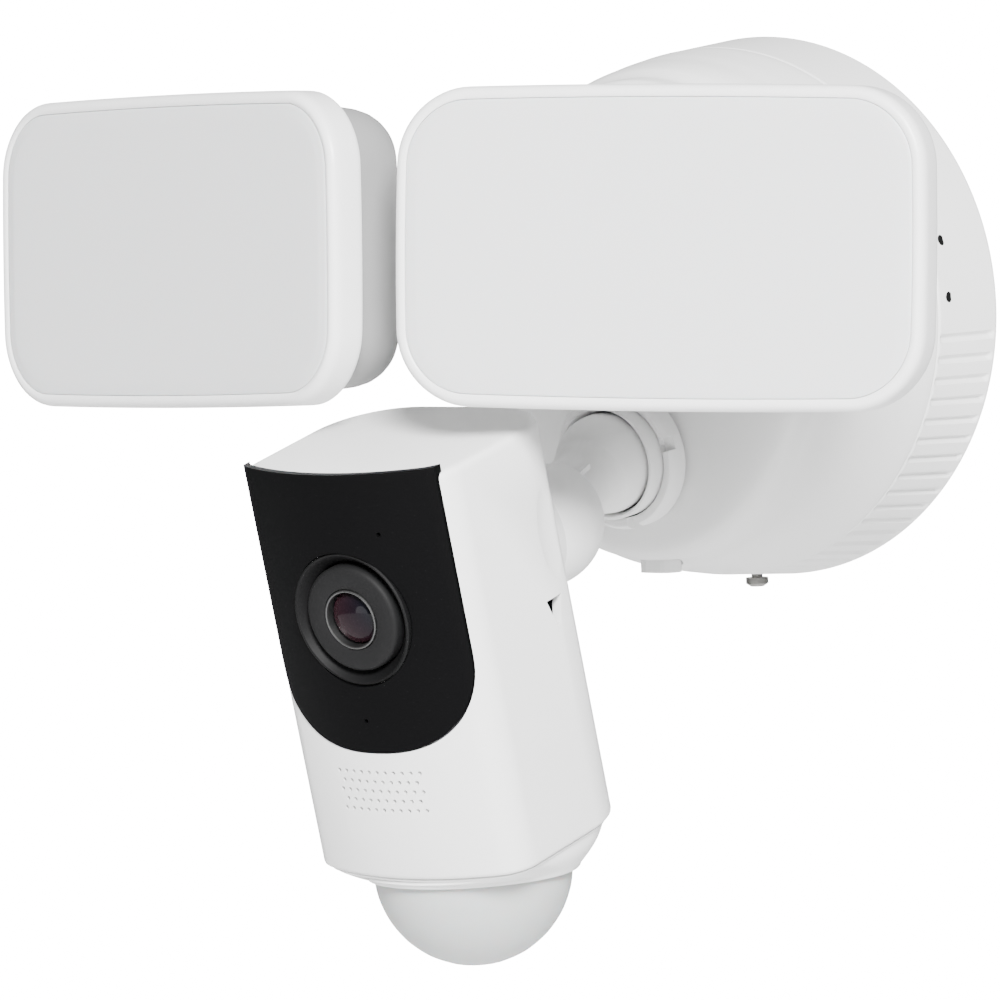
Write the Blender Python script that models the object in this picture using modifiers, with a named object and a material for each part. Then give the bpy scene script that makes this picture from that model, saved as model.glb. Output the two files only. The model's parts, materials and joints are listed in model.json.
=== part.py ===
# Floodlight security camera: a round twist-lock wall base, two splayed lamps on jointed arms
# and a camera head with a motion sensor dome, hung from a ball joint.
# Metres, +Z up. The wall is the plane Y = 0, the front faces -Y, the origin is the centre of the
# base's wall face.
import math

import bmesh
import bpy
from mathutils import Matrix, Vector

MM = 0.001
GAP = 0.3 * MM

# ---- driving dimensions -------------------------------------------------------------------
RING_RADIUS = 69.0 * MM          # lock ring at the wall
RING_FRONT_RADIUS = 67.1 * MM
RING_BORE = 64.4 * MM
RING_DEPTH = 24.4 * MM
RIB_PITCH = 4.6                  # degrees between the grip grooves under the ring
# base shell's outer sections as distance from the wall, half width, half height: the sides draw
# in to a waist around an oval nose, top and bottom run on in a straight cone
BASE_SECTIONS = [(24.7, 67.0, 67.0), (32.0, 65.9, 66.0), (40.0, 64.0, 64.8), (46.0, 61.4, 63.9),
                 (50.5, 58.0, 63.0), (54.0, 54.2, 62.3), (57.2, 51.8, 61.5), (60.2, 50.6, 60.0),
                 (62.4, 48.9, 57.2), (63.7, 44.6, 51.8), (64.7, 30.0, 34.0)]
BASE_INNER = [(7.0, 61.4, 61.4), (36.0, 61.4, 61.4), (46.0, 58.6, 60.4), (53.0, 52.0, 58.8),
              (59.0, 47.4, 56.0), (61.6, 42.0, 48.0)]
SHELL_LIP = 8.3 * MM             # rear edge of the shell's skirt inside the lock ring
SKIRT_RADIUS = 64.0 * MM
COVER_DEPTH = 6.7 * MM           # middle of the rear cover
LOCK_SCREW_DEPTH = 12.4 * MM
MOUNT_SCREW_X = 22.0 * MM
MOUNT_SLOT_X = 44.45 * MM        # slots of the wall bracket, 88.9 mm apart
GLAND_HEIGHT = 28.0 * MM
RESET_DEPTH = 54.0 * MM

ARM_DROP = math.radians(6.0)     # the camera arm's socket looks a little downwards
BALL_CENTRE = Vector((0.0, -76.0, -34.5)) * MM
BALL_RADIUS = 12.6 * MM

TILT_CENTRE = Vector((0.0, -105.6, -47.0)) * MM
CAMERA_PITCH = math.radians(14.0)
BODY_HALF_WIDTH = 31.6 * MM
BODY_DEPTH = 58.5 * MM
BODY_FRONT = -77.9 * MM          # front of the body, behind the tilt pin at y = 0 in the head's frame
BODY_TOP = 37.3 * MM
BODY_BOTTOM = -64.5 * MM
BODY_BOW = 69.0 * MM             # radius of the body's gently curved front
BODY_FRONT_CORNER = 9.5 * MM
BODY_REAR_CORNER = 20.0 * MM
PANEL_HALF_WIDTH = 28.9 * MM
PANEL_FOOT_START = -8.0 * MM     # where the panel's straight sides end and its round foot begins
PANEL_FOOT = -31.7 * MM
LENS_HEIGHT = 2.1 * MM
LENS_OPENING = 17.0 * MM
MIC_SPOTS = [(13.0 * MM, 23.6 * MM), (-1.0 * MM, -23.6 * MM)]
SPEAKER_HEIGHT = -41.8 * MM
GRILLE_PITCH_X = 2.47 * MM
GRILLE_PITCH_Z = 2.41 * MM
GRILLE_HOLE = 0.55 * MM
GRILLE_SHIFT = -1.2 * MM
PIR_RADIUS = 24.4 * MM
PIR_CENTRE = Vector((0.0, -50.2, -71.3)) * MM
PIR_LEAN = math.radians(-11.5)    # the dome looks straighter down than the pitched head

LAMP_CENTRE = Vector((75.0, -155.2, 23.5)) * MM
LAMP_SPLAY = math.radians(13.4)
LAMP_PITCH = math.radians(3.3)
LAMP_ROLL = math.radians(1.4)
LAMP_WIDTH = 133.9 * MM
LAMP_HEIGHT = 75.6 * MM
LAMP_CORNER = 18.0 * MM
LAMP_BOW = 0.9 * MM
LAMP_TILT_SETBACK = 37.0 * MM    # tilt pin behind the lamp's front face
LAMP_PAN_SETBACK = 51.0 * MM     # pan pin behind the lamp's front face
LAMP_ARM_ROOT = Vector((28.0, -60.0, 21.4)) * MM


# ---- scene helpers ------------------------------------------------------------------------
def clear_scene():
    for item in list(bpy.data.objects):
        bpy.data.objects.remove(item, do_unlink=True)


def new_collection(name):
    group = bpy.data.collections.new(name)
    bpy.context.scene.collection.children.link(group)
    return group


clear_scene()
PARTS = new_collection("floodlight_camera")
CUTTERS = new_collection("cutters")


def material(name, colour, roughness, metallic=0.0):
    found = bpy.data.materials.get(name)
    if found:
        return found
    made = bpy.data.materials.new(name)
    made.use_nodes = True
    shader = made.node_tree.nodes["Principled BSDF"]
    shader.inputs["Base Color"].default_value = (*colour, 1.0)
    shader.inputs["Roughness"].default_value = roughness
    shader.inputs["Metallic"].default_value = metallic
    return made


WHITE = material("white_housing", (0.82, 0.82, 0.81), 0.38)
LAMP_WHITE = material("lamp_frame_white", (0.84, 0.84, 0.84), 0.34)
DIFFUSER = material("opal_diffuser", (0.86, 0.87, 0.88), 0.30)
BLACK_GLOSS = material("black_panel", (0.012, 0.012, 0.014), 0.16)
BLACK_MATT = material("black_plastic", (0.03, 0.03, 0.032), 0.5)
LENS_GLASS = material("lens_glass", (0.02, 0.015, 0.03), 0.05)
STEEL = material("steel", (0.62, 0.62, 0.60), 0.32, 1.0)
ALUMINIUM = material("aluminium", (0.75, 0.75, 0.76), 0.4, 1.0)
RUBBER = material("grey_rubber", (0.10, 0.10, 0.10), 0.8)
BOARD = material("circuit_board", (0.02, 0.16, 0.08), 0.5)
LED_BOARD = material("led_board", (0.85, 0.84, 0.78), 0.4)
MILKY = material("milky_sensor_dome", (0.80, 0.81, 0.82), 0.45)
GREEN = material("green_screw", (0.05, 0.35, 0.12), 0.35, 0.6)
CREAM = material("cream_plastic", (0.74, 0.70, 0.58), 0.5)


def empty(name, location, rotation=None, parent=None):
    item = bpy.data.objects.new(name, None)
    item.empty_display_size = 0.01
    CUTTERS.objects.link(item)
    item.parent = parent
    item.matrix_local = Matrix.Translation(location) @ (rotation or Matrix.Identity(4))
    return item


def place(item, role, parent=None, location=(0, 0, 0), rotation=None):
    """Role is a material for a part, or None for a cutter."""
    (PARTS if role else CUTTERS).objects.link(item)
    item.parent = parent
    item.matrix_local = Matrix.Translation(Vector(location)) @ (rotation or Matrix.Identity(4))
    if role:
        item.data.materials.clear()
        item.data.materials.append(role)
    else:
        item.hide_render = True
        item.display_type = "WIRE"
    return item


def smooth(mesh, angle=35.0):
    mesh.shade_smooth()
    mesh.set_sharp_from_angle(angle=math.radians(angle))


def mesh_object(name, build, role, angle=35.0, **where):
    shape = bmesh.new()
    build(shape)
    mesh = bpy.data.meshes.new(name)
    shape.to_mesh(mesh)
    shape.free()
    smooth(mesh, angle)
    return place(bpy.data.objects.new(name, mesh), role, **where)


def box(name, size, role, bevel=0.0, **where):
    def build(shape):
        bmesh.ops.create_cube(shape, size=1.0, matrix=Matrix.Diagonal((*size, 1.0)))
    item = mesh_object(name, build, role, **where)
    if bevel:
        edge = item.modifiers.new("edges", "BEVEL")
        edge.width = bevel
        edge.segments = 2
    return item


def rod(name, radius, length, role, sides=32, far_radius=None, **where):
    """Cylinder or cone along the local Z axis."""
    def build(shape):
        end = radius if far_radius is None else far_radius
        bmesh.ops.create_cone(shape, cap_ends=True, segments=sides, radius1=radius, radius2=end,
                              depth=length)
    return mesh_object(name, build, role, **where)


def ball(name, radius, role, rows=16, sides=32, scale=(1, 1, 1), **where):
    def build(shape):
        bmesh.ops.create_uvsphere(shape, u_segments=sides, v_segments=rows, radius=radius,
                                  matrix=Matrix.Diagonal((*scale, 1.0)))
    return mesh_object(name, build, role, angle=60.0, **where)


def turned(name, profile, role, steps=48, closed=True, angle=35.0, **where):
    """Profile of (radius, height) points turned about the local Z axis."""
    mesh = bpy.data.meshes.new(name)
    count = len(profile)
    links = [(i, i + 1) for i in range(count - 1)]
    if closed:
        links.append((count - 1, 0))
    mesh.from_pydata([(radius, 0.0, height) for radius, height in profile], links, [])
    lathe = bpy.data.objects.new(name + "_profile", mesh)
    CUTTERS.objects.link(lathe)
    spin = lathe.modifiers.new("turn", "SCREW")
    spin.axis = "Z"
    spin.steps = spin.render_steps = steps
    spin.use_merge_vertices = True
    spin.merge_threshold = 0.00001
    return place(frozen(lathe, name, angle), role, **where)


def frozen(source, name, angle=35.0):
    """Turns an object with modifiers, or a curve, into one clean closed mesh."""
    bpy.context.view_layer.update()
    view = source.evaluated_get(bpy.context.evaluated_depsgraph_get())
    mesh = bpy.data.meshes.new_from_object(view)
    mesh.name = name
    shape = bmesh.new()
    shape.from_mesh(mesh)
    bmesh.ops.remove_doubles(shape, verts=shape.verts, dist=0.00001)
    bmesh.ops.recalc_face_normals(shape, faces=shape.faces)
    shape.to_mesh(mesh)
    shape.free()
    smooth(mesh, angle)
    bpy.data.objects.remove(source, do_unlink=True)
    return bpy.data.objects.new(name, mesh)


def prism(name, outline, thickness, role, angle=35.0, **where):
    """Flat outline in the local XY plane, as thick as given and centred on it."""
    curve = bpy.data.curves.new(name, "CURVE")
    curve.dimensions = "2D"
    curve.fill_mode = "BOTH"
    curve.extrude = thickness / 2
    path = curve.splines.new("POLY")
    path.points.add(len(outline) - 1)
    for point, (x, y) in zip(path.points, outline):
        point.co = (x, y, 0.0, 1.0)
    path.use_cyclic_u = True
    flat = bpy.data.objects.new(name + "_outline", curve)
    CUTTERS.objects.link(flat)
    return place(frozen(flat, name, angle), role, **where)


def combine(target, other, operation):
    step = target.modifiers.new(operation.lower(), "BOOLEAN")
    step.operation = operation
    step.object = other
    return target


def cut(target, *others):
    for other in others:
        combine(target, other, "DIFFERENCE")
    return target


def join(target, *others):
    for other in others:
        combine(target, other, "UNION")
    return target


def keep(target, other):
    return combine(target, other, "INTERSECT")


# ---- outlines -----------------------------------------------------------------------------
def arc(centre_x, centre_y, radius, start, end, steps):
    """Points on an arc, angles in degrees."""
    turn = [math.radians(start + (end - start) * i / steps) for i in range(steps + 1)]
    return [(centre_x + radius * math.cos(a), centre_y + radius * math.sin(a)) for a in turn]


def rounded_rectangle(width, height, radius, steps=4, bow=0.0):
    """Corners as arcs; a bow pushes the middle of each long and short side outwards."""
    x, y = width / 2 - radius, height / 2 - radius
    points = []
    for sign_x, sign_y, start in ((1, 1, 0), (-1, 1, 90), (-1, -1, 180), (1, -1, 270)):
        points += arc(sign_x * x, sign_y * y, radius, start, start + 90, steps)
    if not bow:
        return points
    bowed = []
    for px, py in points:
        stretch_x = bow * (1 - (2 * py / height) ** 2)
        stretch_y = bow * (1 - (2 * px / width) ** 2)
        bowed.append((px + math.copysign(stretch_x, px), py + math.copysign(stretch_y, py)))
    return bowed


def body_outline(inset=0.0):
    """The camera head's section seen from above, front at y = 0, all sides moved in by inset."""
    side = BODY_HALF_WIDTH - BODY_FRONT_CORNER
    rise = math.sqrt((BODY_BOW - BODY_FRONT_CORNER) ** 2 - side ** 2)
    front_y = BODY_BOW - rise
    lean = math.degrees(math.asin(side / (BODY_BOW - BODY_FRONT_CORNER)))
    rear_x = BODY_HALF_WIDTH - BODY_REAR_CORNER
    rear_y = BODY_DEPTH - BODY_REAR_CORNER
    points = arc(0, BODY_BOW, BODY_BOW - inset, -90 - lean, -90 + lean, 8)
    points += arc(side, front_y, BODY_FRONT_CORNER - inset, -90 + lean, 0, 6)[1:]
    points += arc(rear_x, rear_y, BODY_REAR_CORNER - inset, 0, 90, 7)
    points += arc(-rear_x, rear_y, BODY_REAR_CORNER - inset, 90, 180, 7)
    points += arc(-side, front_y, BODY_FRONT_CORNER - inset, 180, 270 - lean, 6)[:-1]
    return points


def divided(outline, longest):
    """The same outline with its long straight edges split up."""
    points = []
    for (x, y), (next_x, next_y) in zip(outline, outline[1:] + outline[:1]):
        parts = math.ceil(math.hypot(next_x - x, next_y - y) / longest)
        points += [(x + (next_x - x) * i / parts, y + (next_y - y) * i / parts)
                   for i in range(parts)]
    return points


def panel_outline(grow=0.0):
    """Front panel seen from the front: straight sides, a deep round foot."""
    half = PANEL_HALF_WIDTH + grow
    top = BODY_TOP + 1.5 * MM + grow
    foot_depth = PANEL_FOOT - grow - PANEL_FOOT_START
    points = [(half, top), (-half, top)]
    steps = 17
    for i in range(steps + 1):
        turn = math.pi * i / steps
        x = -math.copysign(abs(math.cos(turn)) ** 0.8, math.cos(turn))
        points.append((half * x, PANEL_FOOT_START + foot_depth * math.sin(turn) ** 0.8))
    return points


LIE_ALONG_X = Matrix.Rotation(math.pi / 2, 4, "Y")
LIE_ALONG_Y = Matrix.Rotation(math.pi / 2, 4, "X")      # local Z turns to -Y, local Y to +Z


def oval(half_width, half_height, steps=48):
    turn = [2 * math.pi * i / steps for i in range(steps)]
    return [(half_width * math.cos(a), half_height * math.sin(a)) for a in turn]


def loft(name, rings, role, angle=35.0, **where):
    """Skin over rings of equal point counts, both ends capped. A ring is (outline, height);
    its points may add a rise of their own."""
    def build(shape):
        rows = [[shape.verts.new((x, y, height + sum(rise))) for x, y, *rise in outline]
                for outline, height in rings]
        count = len(rows[0])
        for lower, upper in zip(rows, rows[1:]):
            for i in range(count):
                j = (i + 1) % count
                shape.faces.new((lower[i], lower[j], upper[j], upper[i]))
        shape.faces.new(rows[0][::-1])
        shape.faces.new(rows[-1])
        bmesh.ops.recalc_face_normals(shape, faces=shape.faces)
    return mesh_object(name, build, role, angle, **where)


# ---- frames -------------------------------------------------------------------------------
def along(origin, direction):
    """Frame with its local Z along a direction."""
    turn = Vector((0, 0, 1)).rotation_difference(Vector(direction).normalized())
    return Matrix.Translation(origin) @ turn.to_matrix().to_4x4()


def set_frame(item, frame, shift=0.0):
    """Puts an object in a frame, moved along the frame's own Z."""
    item.matrix_local = frame @ Matrix.Translation((0, 0, shift))
    return item


def arm_frame():
    """Local Z runs out of the base along the camera arm's socket, from the ball's centre."""
    return Matrix.Translation(BALL_CENTRE) @ Matrix.Rotation(math.pi / 2 + ARM_DROP, 4, "X")


def lamp_frame(side):
    """Origin in the middle of the lamp's front, -Y looks out of the lamp; side is 1 or -1."""
    centre = Vector((side * LAMP_CENTRE.x, LAMP_CENTRE.y, LAMP_CENTRE.z))
    return (Matrix.Translation(centre) @ Matrix.Rotation(side * LAMP_SPLAY, 4, "Z")
            @ Matrix.Rotation(-LAMP_PITCH, 4, "X") @ Matrix.Rotation(side * LAMP_ROLL, 4, "Y"))


def lamp_pan_centre(side):
    tilt = lamp_frame(side) @ Vector((0, LAMP_TILT_SETBACK, 0))
    turn = Matrix.Rotation(side * LAMP_SPLAY, 3, "Z")
    return tilt + turn @ Vector((0, LAMP_PAN_SETBACK - LAMP_TILT_SETBACK, 0))


def lamp_arm_frame(side):
    root = Vector((side * LAMP_ARM_ROOT.x, LAMP_ARM_ROOT.y, LAMP_ARM_ROOT.z))
    return along(root, lamp_pan_centre(side) - root)


# ---- base ---------------------------------------------------------------------------------
def base_shell():
    sections = [(oval(x * MM, z * MM), d * MM) for d, x, z in BASE_SECTIONS]
    shell = loft("base_shell", sections, WHITE, rotation=LIE_ALONG_Y)
    skirt = rod("base_skirt", SKIRT_RADIUS, 20 * MM, None, 48, rotation=LIE_ALONG_Y,
                location=(0, -SHELL_LIP - 10 * MM, 0))
    hollow = [(oval(x * MM, z * MM, 36), d * MM) for d, x, z in BASE_INNER]
    room = loft("base_hollow", hollow, None, rotation=LIE_ALONG_Y)
    join(shell, skirt)
    cut(shell, room)
    way = arm_frame()
    boss = set_frame(rod("arm_boss", 14.4 * MM, 19 * MM, None, 32), way, -8.9 * MM)
    seat = BALL_RADIUS + GAP
    floor = -13.4 * MM
    bore = [(0, 5 * MM), (14.0 * MM, 5 * MM), (14.0 * MM, 0.8 * MM), (seat, -1.4 * MM),
            (seat, floor), (0, floor)]
    socket = set_frame(turned("arm_socket", bore, None, 32, closed=False), way)
    wires = set_frame(rod("arm_wire_way", 6.8 * MM, 40 * MM, None, 20), way, -21 * MM)
    join(shell, boss)
    for side in (1, -1):
        root = lamp_arm_frame(side)
        lamp_boss = rod("lamp_boss", 10.8 * MM, 16 * MM, None, 24, far_radius=9.8 * MM)
        join(shell, set_frame(lamp_boss, root, 6 * MM))
    cut(shell, socket, wires)
    for side in (1, -1):
        cut(shell, set_frame(rod("lamp_arm_way", 7.6 * MM, 34 * MM, None, 24), lamp_arm_frame(side)))
    slot = prism("reset_slot", rounded_rectangle(11.6 * MM, 7.6 * MM, 3.7 * MM), 12 * MM, None,
                 location=(0, -RESET_DEPTH, -61 * MM))
    cut(shell, slot)


def lock_ring():
    pivot = empty("lock_ring_axis", (0, 0, 0))
    back = 0.8 * MM
    profile = [(RING_BORE, back), (RING_BORE, RING_DEPTH), (RING_FRONT_RADIUS, RING_DEPTH),
               (RING_RADIUS, back + 0.4 * MM), (RING_RADIUS - 0.5 * MM, back)]
    ring = turned("lock_ring", profile, WHITE, 56, parent=pivot, rotation=LIE_ALONG_Y)

    def ribs(shape):
        rib = 6.0
        while rib <= 174.0:
            turn = Matrix.Rotation(math.radians(rib), 4, "Y")
            slot = Matrix.Translation((68.7 * MM, -14.0 * MM, 0)) @ Matrix.Diagonal(
                (2.2 * MM, 19 * MM, 1.1 * MM, 1))
            bmesh.ops.create_cube(shape, size=1.0, matrix=turn @ slot)
            rib += RIB_PITCH
    grooves = mesh_object("ring_grooves", ribs, None, parent=pivot)
    hole = rod("lock_screw_hole", 1.8 * MM, 12 * MM, None, 24, parent=pivot,
               location=(0, -LOCK_SCREW_DEPTH, -67 * MM))
    cut(ring, grooves, hole)
    head = turned("lock_screw", [(0, 0), (0, 2.6 * MM), (1.7 * MM, 2.6 * MM), (2.9 * MM, 1.8 * MM),
                                 (2.9 * MM, 0.3 * MM), (1.45 * MM, 0.3 * MM), (1.45 * MM, -4.4 * MM),
                                 (0, -4.4 * MM)], STEEL, 24, closed=False, parent=pivot,
                  location=(0, -LOCK_SCREW_DEPTH, -68.6 * MM),
                  rotation=Matrix.Rotation(math.pi, 4, "X"))
    cross = box("lock_screw_cross", (3.2 * MM, 0.8 * MM, 1.6 * MM), None, parent=pivot,
                location=(0, -LOCK_SCREW_DEPTH, -71.2 * MM))
    cut(head, cross)


def wall_side():
    """Everything between the wall and the inside of the base."""
    turned("wall_gasket", [(57.2 * MM, 0), (57.2 * MM, 5.1 * MM), (63.4 * MM, 5.1 * MM),
                           (63.4 * MM, 0)], RUBBER, 36, rotation=LIE_ALONG_Y)
    bracket = box("wall_bracket", (106 * MM, 1.6 * MM, 32 * MM), STEEL, location=(0, -0.8 * MM, 0))
    for x in (-MOUNT_SLOT_X, MOUNT_SLOT_X):
        slot = prism("bracket_slot", rounded_rectangle(12 * MM, 4.6 * MM, 2.2 * MM), 8 * MM, None,
                     location=(x, 0, 0), rotation=LIE_ALONG_Y)
        cut(bracket, slot)
    cover = rod("rear_cover", 63.6 * MM, 2.6 * MM, WHITE, 48, rotation=LIE_ALONG_Y,
                location=(0, -COVER_DEPTH, 0))
    inlet = rod("gland_hole", 8.3 * MM, 12 * MM, None, 24, rotation=LIE_ALONG_Y,
                location=(0, -COVER_DEPTH, GLAND_HEIGHT))
    cut(cover, inlet)
    for name, x in (("left", -MOUNT_SCREW_X), ("right", MOUNT_SCREW_X)):
        hole = rod("mount_hole", 2.2 * MM, 30 * MM, None, 20, location=(x, -7 * MM, 0),
                   rotation=LIE_ALONG_Y)
        cut(bracket, hole)
        cut(cover, hole)
        screw("mount_screw_" + name, 1.9 * MM, 3.8 * MM, 8.0 * MM, STEEL,
              Matrix.Translation((x, -8.3 * MM, 0)) @ LIE_ALONG_Y)
    earth = rod("earth_hole", 1.9 * MM, 8 * MM, None, 20, location=(0, -1 * MM, -11 * MM),
                rotation=LIE_ALONG_Y)
    cut(bracket, earth)
    screw("ground_screw", 1.6 * MM, 3.2 * MM, 1.5 * MM, GREEN,
          Matrix.Translation((0, -1.9 * MM, -11 * MM)) @ LIE_ALONG_Y)
    gland = [(4.0, 3.6), (4.0, 10.2), (6.2, 10.2), (10.6, 9.6), (10.6, 8.3), (8.0, 8.3), (8.0, 5.1),
             (10.6, 5.1), (10.6, 3.6)]
    turned("cable_gland", [(r * MM, d * MM) for r, d in gland], RUBBER, 20, rotation=LIE_ALONG_Y,
           location=(0, 0, GLAND_HEIGHT))


def screw(name, shank, head, length, role, frame):
    """Pan head screw: its head stands on the frame's XY plane, the shank runs down local -Z."""
    profile = [(0, 2.2 * MM), (head * 0.55, 2.2 * MM), (head, 1.3 * MM), (head, 0), (shank, 0),
               (shank, -length), (0, -length)]
    item = turned(name, profile, role, 14, closed=False)
    item.matrix_local = frame
    slot = box(name + "_slot", (head * 1.3, 0.9 * MM, 1.6 * MM), None)
    slot.matrix_local = frame @ Matrix.Translation((0, 0, 2.4 * MM))
    cut(item, slot)


def electronics():
    """Mains side inside the base."""
    box("driver_board", (82 * MM, 1.6 * MM, 46 * MM), BOARD, location=(0, -22 * MM, 4 * MM))
    box("terminal_block", (26 * MM, 7 * MM, 11 * MM), CREAM, 0.6 * MM,
        location=(-24 * MM, -17.4 * MM, 8 * MM))
    box("transformer", (22 * MM, 17 * MM, 20 * MM), BLACK_MATT, 1.2 * MM,
        location=(-20 * MM, -31.6 * MM, 4 * MM))
    rod("capacitor", 6 * MM, 20 * MM, ALUMINIUM, 24, location=(18 * MM, -29.2 * MM, 4 * MM))
    box("reset_switch", (6 * MM, 6 * MM, 3.4 * MM), BLACK_MATT, location=(0, -RESET_DEPTH, -51.6 * MM))


def reset_button():
    pivot = empty("reset_axis", (0, -RESET_DEPTH, -63 * MM))
    stem = prism("reset_button", rounded_rectangle(11 * MM, 7 * MM, 3.4 * MM), 9.3 * MM, WHITE,
                 parent=pivot, location=(0, 0, 3.9 * MM))
    flange = prism("reset_flange", rounded_rectangle(14 * MM, 9.6 * MM, 4.4 * MM), 1.0 * MM, None,
                   parent=pivot, location=(0, 0, 7.9 * MM))
    join(stem, flange)


# ---- camera arm ---------------------------------------------------------------------------
def camera_arm():
    way = arm_frame()
    nut_axis = empty("arm_nut_axis", BALL_CENTRE, way.to_3x3().to_4x4())
    nut = [(14.8, -10.2), (14.8, -3.6), (16.6, -3.6), (17.8, -4.6), (17.8, -10.2)]
    ring = turned("arm_nut", [(r * MM, h * MM) for r, h in nut], WHITE, 36, parent=nut_axis)
    for i in range(4):
        turn = Matrix.Rotation(math.radians(14 + 90 * i), 4, "Z")
        notch = box("nut_notch", (6 * MM, 3.4 * MM, 5 * MM), None, parent=nut_axis)
        notch.matrix_local = turn @ Matrix.Translation((17.8 * MM, 0, -3.6 * MM))
        cut(ring, notch)

    pan = empty("camera_pan_axis", BALL_CENTRE)
    reach = TILT_CENTRE - BALL_CENTRE
    length = reach.length
    neck_way = along(Vector(), reach)
    lean = neck_way.to_3x3().to_4x4()
    joint = ball("camera_arm", BALL_RADIUS, WHITE, 12, 24, parent=pan, rotation=lean)
    neck = rod("arm_neck", 8.4 * MM, 14.6 * MM, None, 24, parent=pan)
    set_frame(neck, neck_way, 8.0 * MM)
    blade = box("arm_blade", (13.4 * MM, 14.4 * MM, length - 13 * MM), None, 1.5 * MM, parent=pan)
    set_frame(blade, neck_way, (length + 13 * MM) / 2)
    knuckle = rod("arm_knuckle", 10.4 * MM, 13.4 * MM, None, 24, parent=pan)
    knuckle.matrix_local = Matrix.Translation(reach) @ LIE_ALONG_X
    hole = rod("arm_pin_hole", 2.3 * MM, 40 * MM, None, 20, parent=pan)
    hole.matrix_local = Matrix.Translation(reach) @ LIE_ALONG_X
    join(joint, neck, blade, knuckle)
    cut(joint, hole)
    pin = rod("tilt_pin", 2.0 * MM, 29 * MM, STEEL, 20, parent=pan)
    pin.matrix_local = Matrix.Translation(reach) @ LIE_ALONG_X


# ---- camera head --------------------------------------------------------------------------
def head_frame():
    """The head's own frame: origin on the tilt pin, +Z up the body, -Y out of the lens."""
    return empty("camera_tilt_axis", TILT_CENTRE, Matrix.Rotation(CAMERA_PITCH, 4, "X"))


def sleeve(name, head, outer, inner, role=None):
    """The body's section with a hollow, standing the height of the body."""
    height = BODY_TOP - BODY_BOTTOM + 8 * MM
    where = dict(parent=head, location=(0, BODY_FRONT, (BODY_TOP + BODY_BOTTOM) / 2))
    solid = prism(name, body_outline(outer), height, role, **where)
    core = prism(name + "_core", body_outline(inner), height + 4 * MM, None, **where)
    return cut(solid, core)


def panel_block(name, head, grow):
    return prism(name, panel_outline(grow), 36 * MM, None, parent=head,
                 location=(0, BODY_FRONT, 0), rotation=LIE_ALONG_Y)


def camera_shell(head):
    rings = [(body_outline(0.7 * MM), BODY_BOTTOM), (body_outline(0), BODY_BOTTOM + 1.0 * MM),
             (body_outline(0), BODY_TOP - 1.6 * MM), (body_outline(0.3 * MM), BODY_TOP - 0.7 * MM),
             (body_outline(1.1 * MM), BODY_TOP)]
    shell = loft("camera_shell", rings, WHITE, parent=head, location=(0, BODY_FRONT, 0))
    hollow = prism("camera_hollow", body_outline(2.6 * MM), 110 * MM, None, parent=head,
                   location=(0, BODY_FRONT, BODY_TOP - 2.8 * MM - 55 * MM))
    recess = keep(sleeve("panel_recess", head, -3 * MM, 1.7 * MM), panel_block("recess_front", head, GAP))
    lens_way = rod("lens_way", LENS_OPENING, 30 * MM, None, 40, parent=head, rotation=LIE_ALONG_Y,
                   location=(0, BODY_FRONT, LENS_HEIGHT))
    wire_way = rod("rear_wire_way", 4.5 * MM, 14 * MM, None, 24, parent=head, rotation=LIE_ALONG_Y,
                   location=(0, BODY_FRONT + BODY_DEPTH, 0))
    cut(shell, hollow, recess, lens_way, wire_way, grille(head))
    for side in (1, -1):
        scoop = ball("side_scoop", 1.0, None, 12, 16, parent=head,
                     location=(side * 35.1 * MM, -24 * MM, 10 * MM),
                     scale=(6 * MM, 20 * MM, 24 * MM))
        notch = prism("side_notch", [(-3.0 * MM, 2.4 * MM), (3.0 * MM, 2.4 * MM), (1.0 * MM, -2.6 * MM),
                                     (-1.0 * MM, -2.6 * MM)], 12 * MM, None, parent=head,
                      location=(side * 31 * MM, -37 * MM, -7.4 * MM),
                      rotation=Matrix.Rotation(math.pi / 2, 4, "Z") @ LIE_ALONG_Y)
        cut(shell, scoop, notch)
    mics = [rod("mic_way", 1.4 * MM, 30 * MM, None, 16, parent=head, rotation=LIE_ALONG_Y,
                location=(x, BODY_FRONT, z)) for x, z in MIC_SPOTS]
    cut(shell, *mics)


def grille(head):
    """Five staggered rows of speaker holes."""
    def build(shape):
        for row in range(5):
            count = 11 - row % 2
            z = SPEAKER_HEIGHT + (2 - row) * GRILLE_PITCH_Z
            for i in range(count):
                x = (i - (count - 1) / 2) * GRILLE_PITCH_X + GRILLE_SHIFT
                spot = Matrix.Translation((x, BODY_FRONT, z)) @ LIE_ALONG_Y
                bmesh.ops.create_cone(shape, cap_ends=True, segments=5, radius1=GRILLE_HOLE,
                                      radius2=GRILLE_HOLE, depth=12 * MM, matrix=spot)
    return mesh_object("grille_holes", build, None, parent=head)


def front_panel(head):
    panel = sleeve("front_panel", head, -0.25 * MM, 1.4 * MM, BLACK_GLOSS)
    keep(panel, panel_block("panel_front", head, 0))
    opening = rod("panel_opening", LENS_OPENING, 40 * MM, None, 40, parent=head, rotation=LIE_ALONG_Y,
                  location=(0, BODY_FRONT, LENS_HEIGHT))
    cut(panel, opening)
    for x, z in MIC_SPOTS:
        cut(panel, rod("mic_hole", 0.5 * MM, 30 * MM, None, 12, parent=head, rotation=LIE_ALONG_Y,
                       location=(x, BODY_FRONT, z)))


def lens_piece(name, head, profile, role, closed=True, steps=32):
    """Turned about the lens axis; a point is (radius, depth behind the body's front)."""
    points = [(r * MM, -d * MM) for r, d in profile]
    return turned(name, points, role, steps, closed, parent=head, rotation=LIE_ALONG_Y,
                  location=(0, BODY_FRONT, LENS_HEIGHT))


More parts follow.
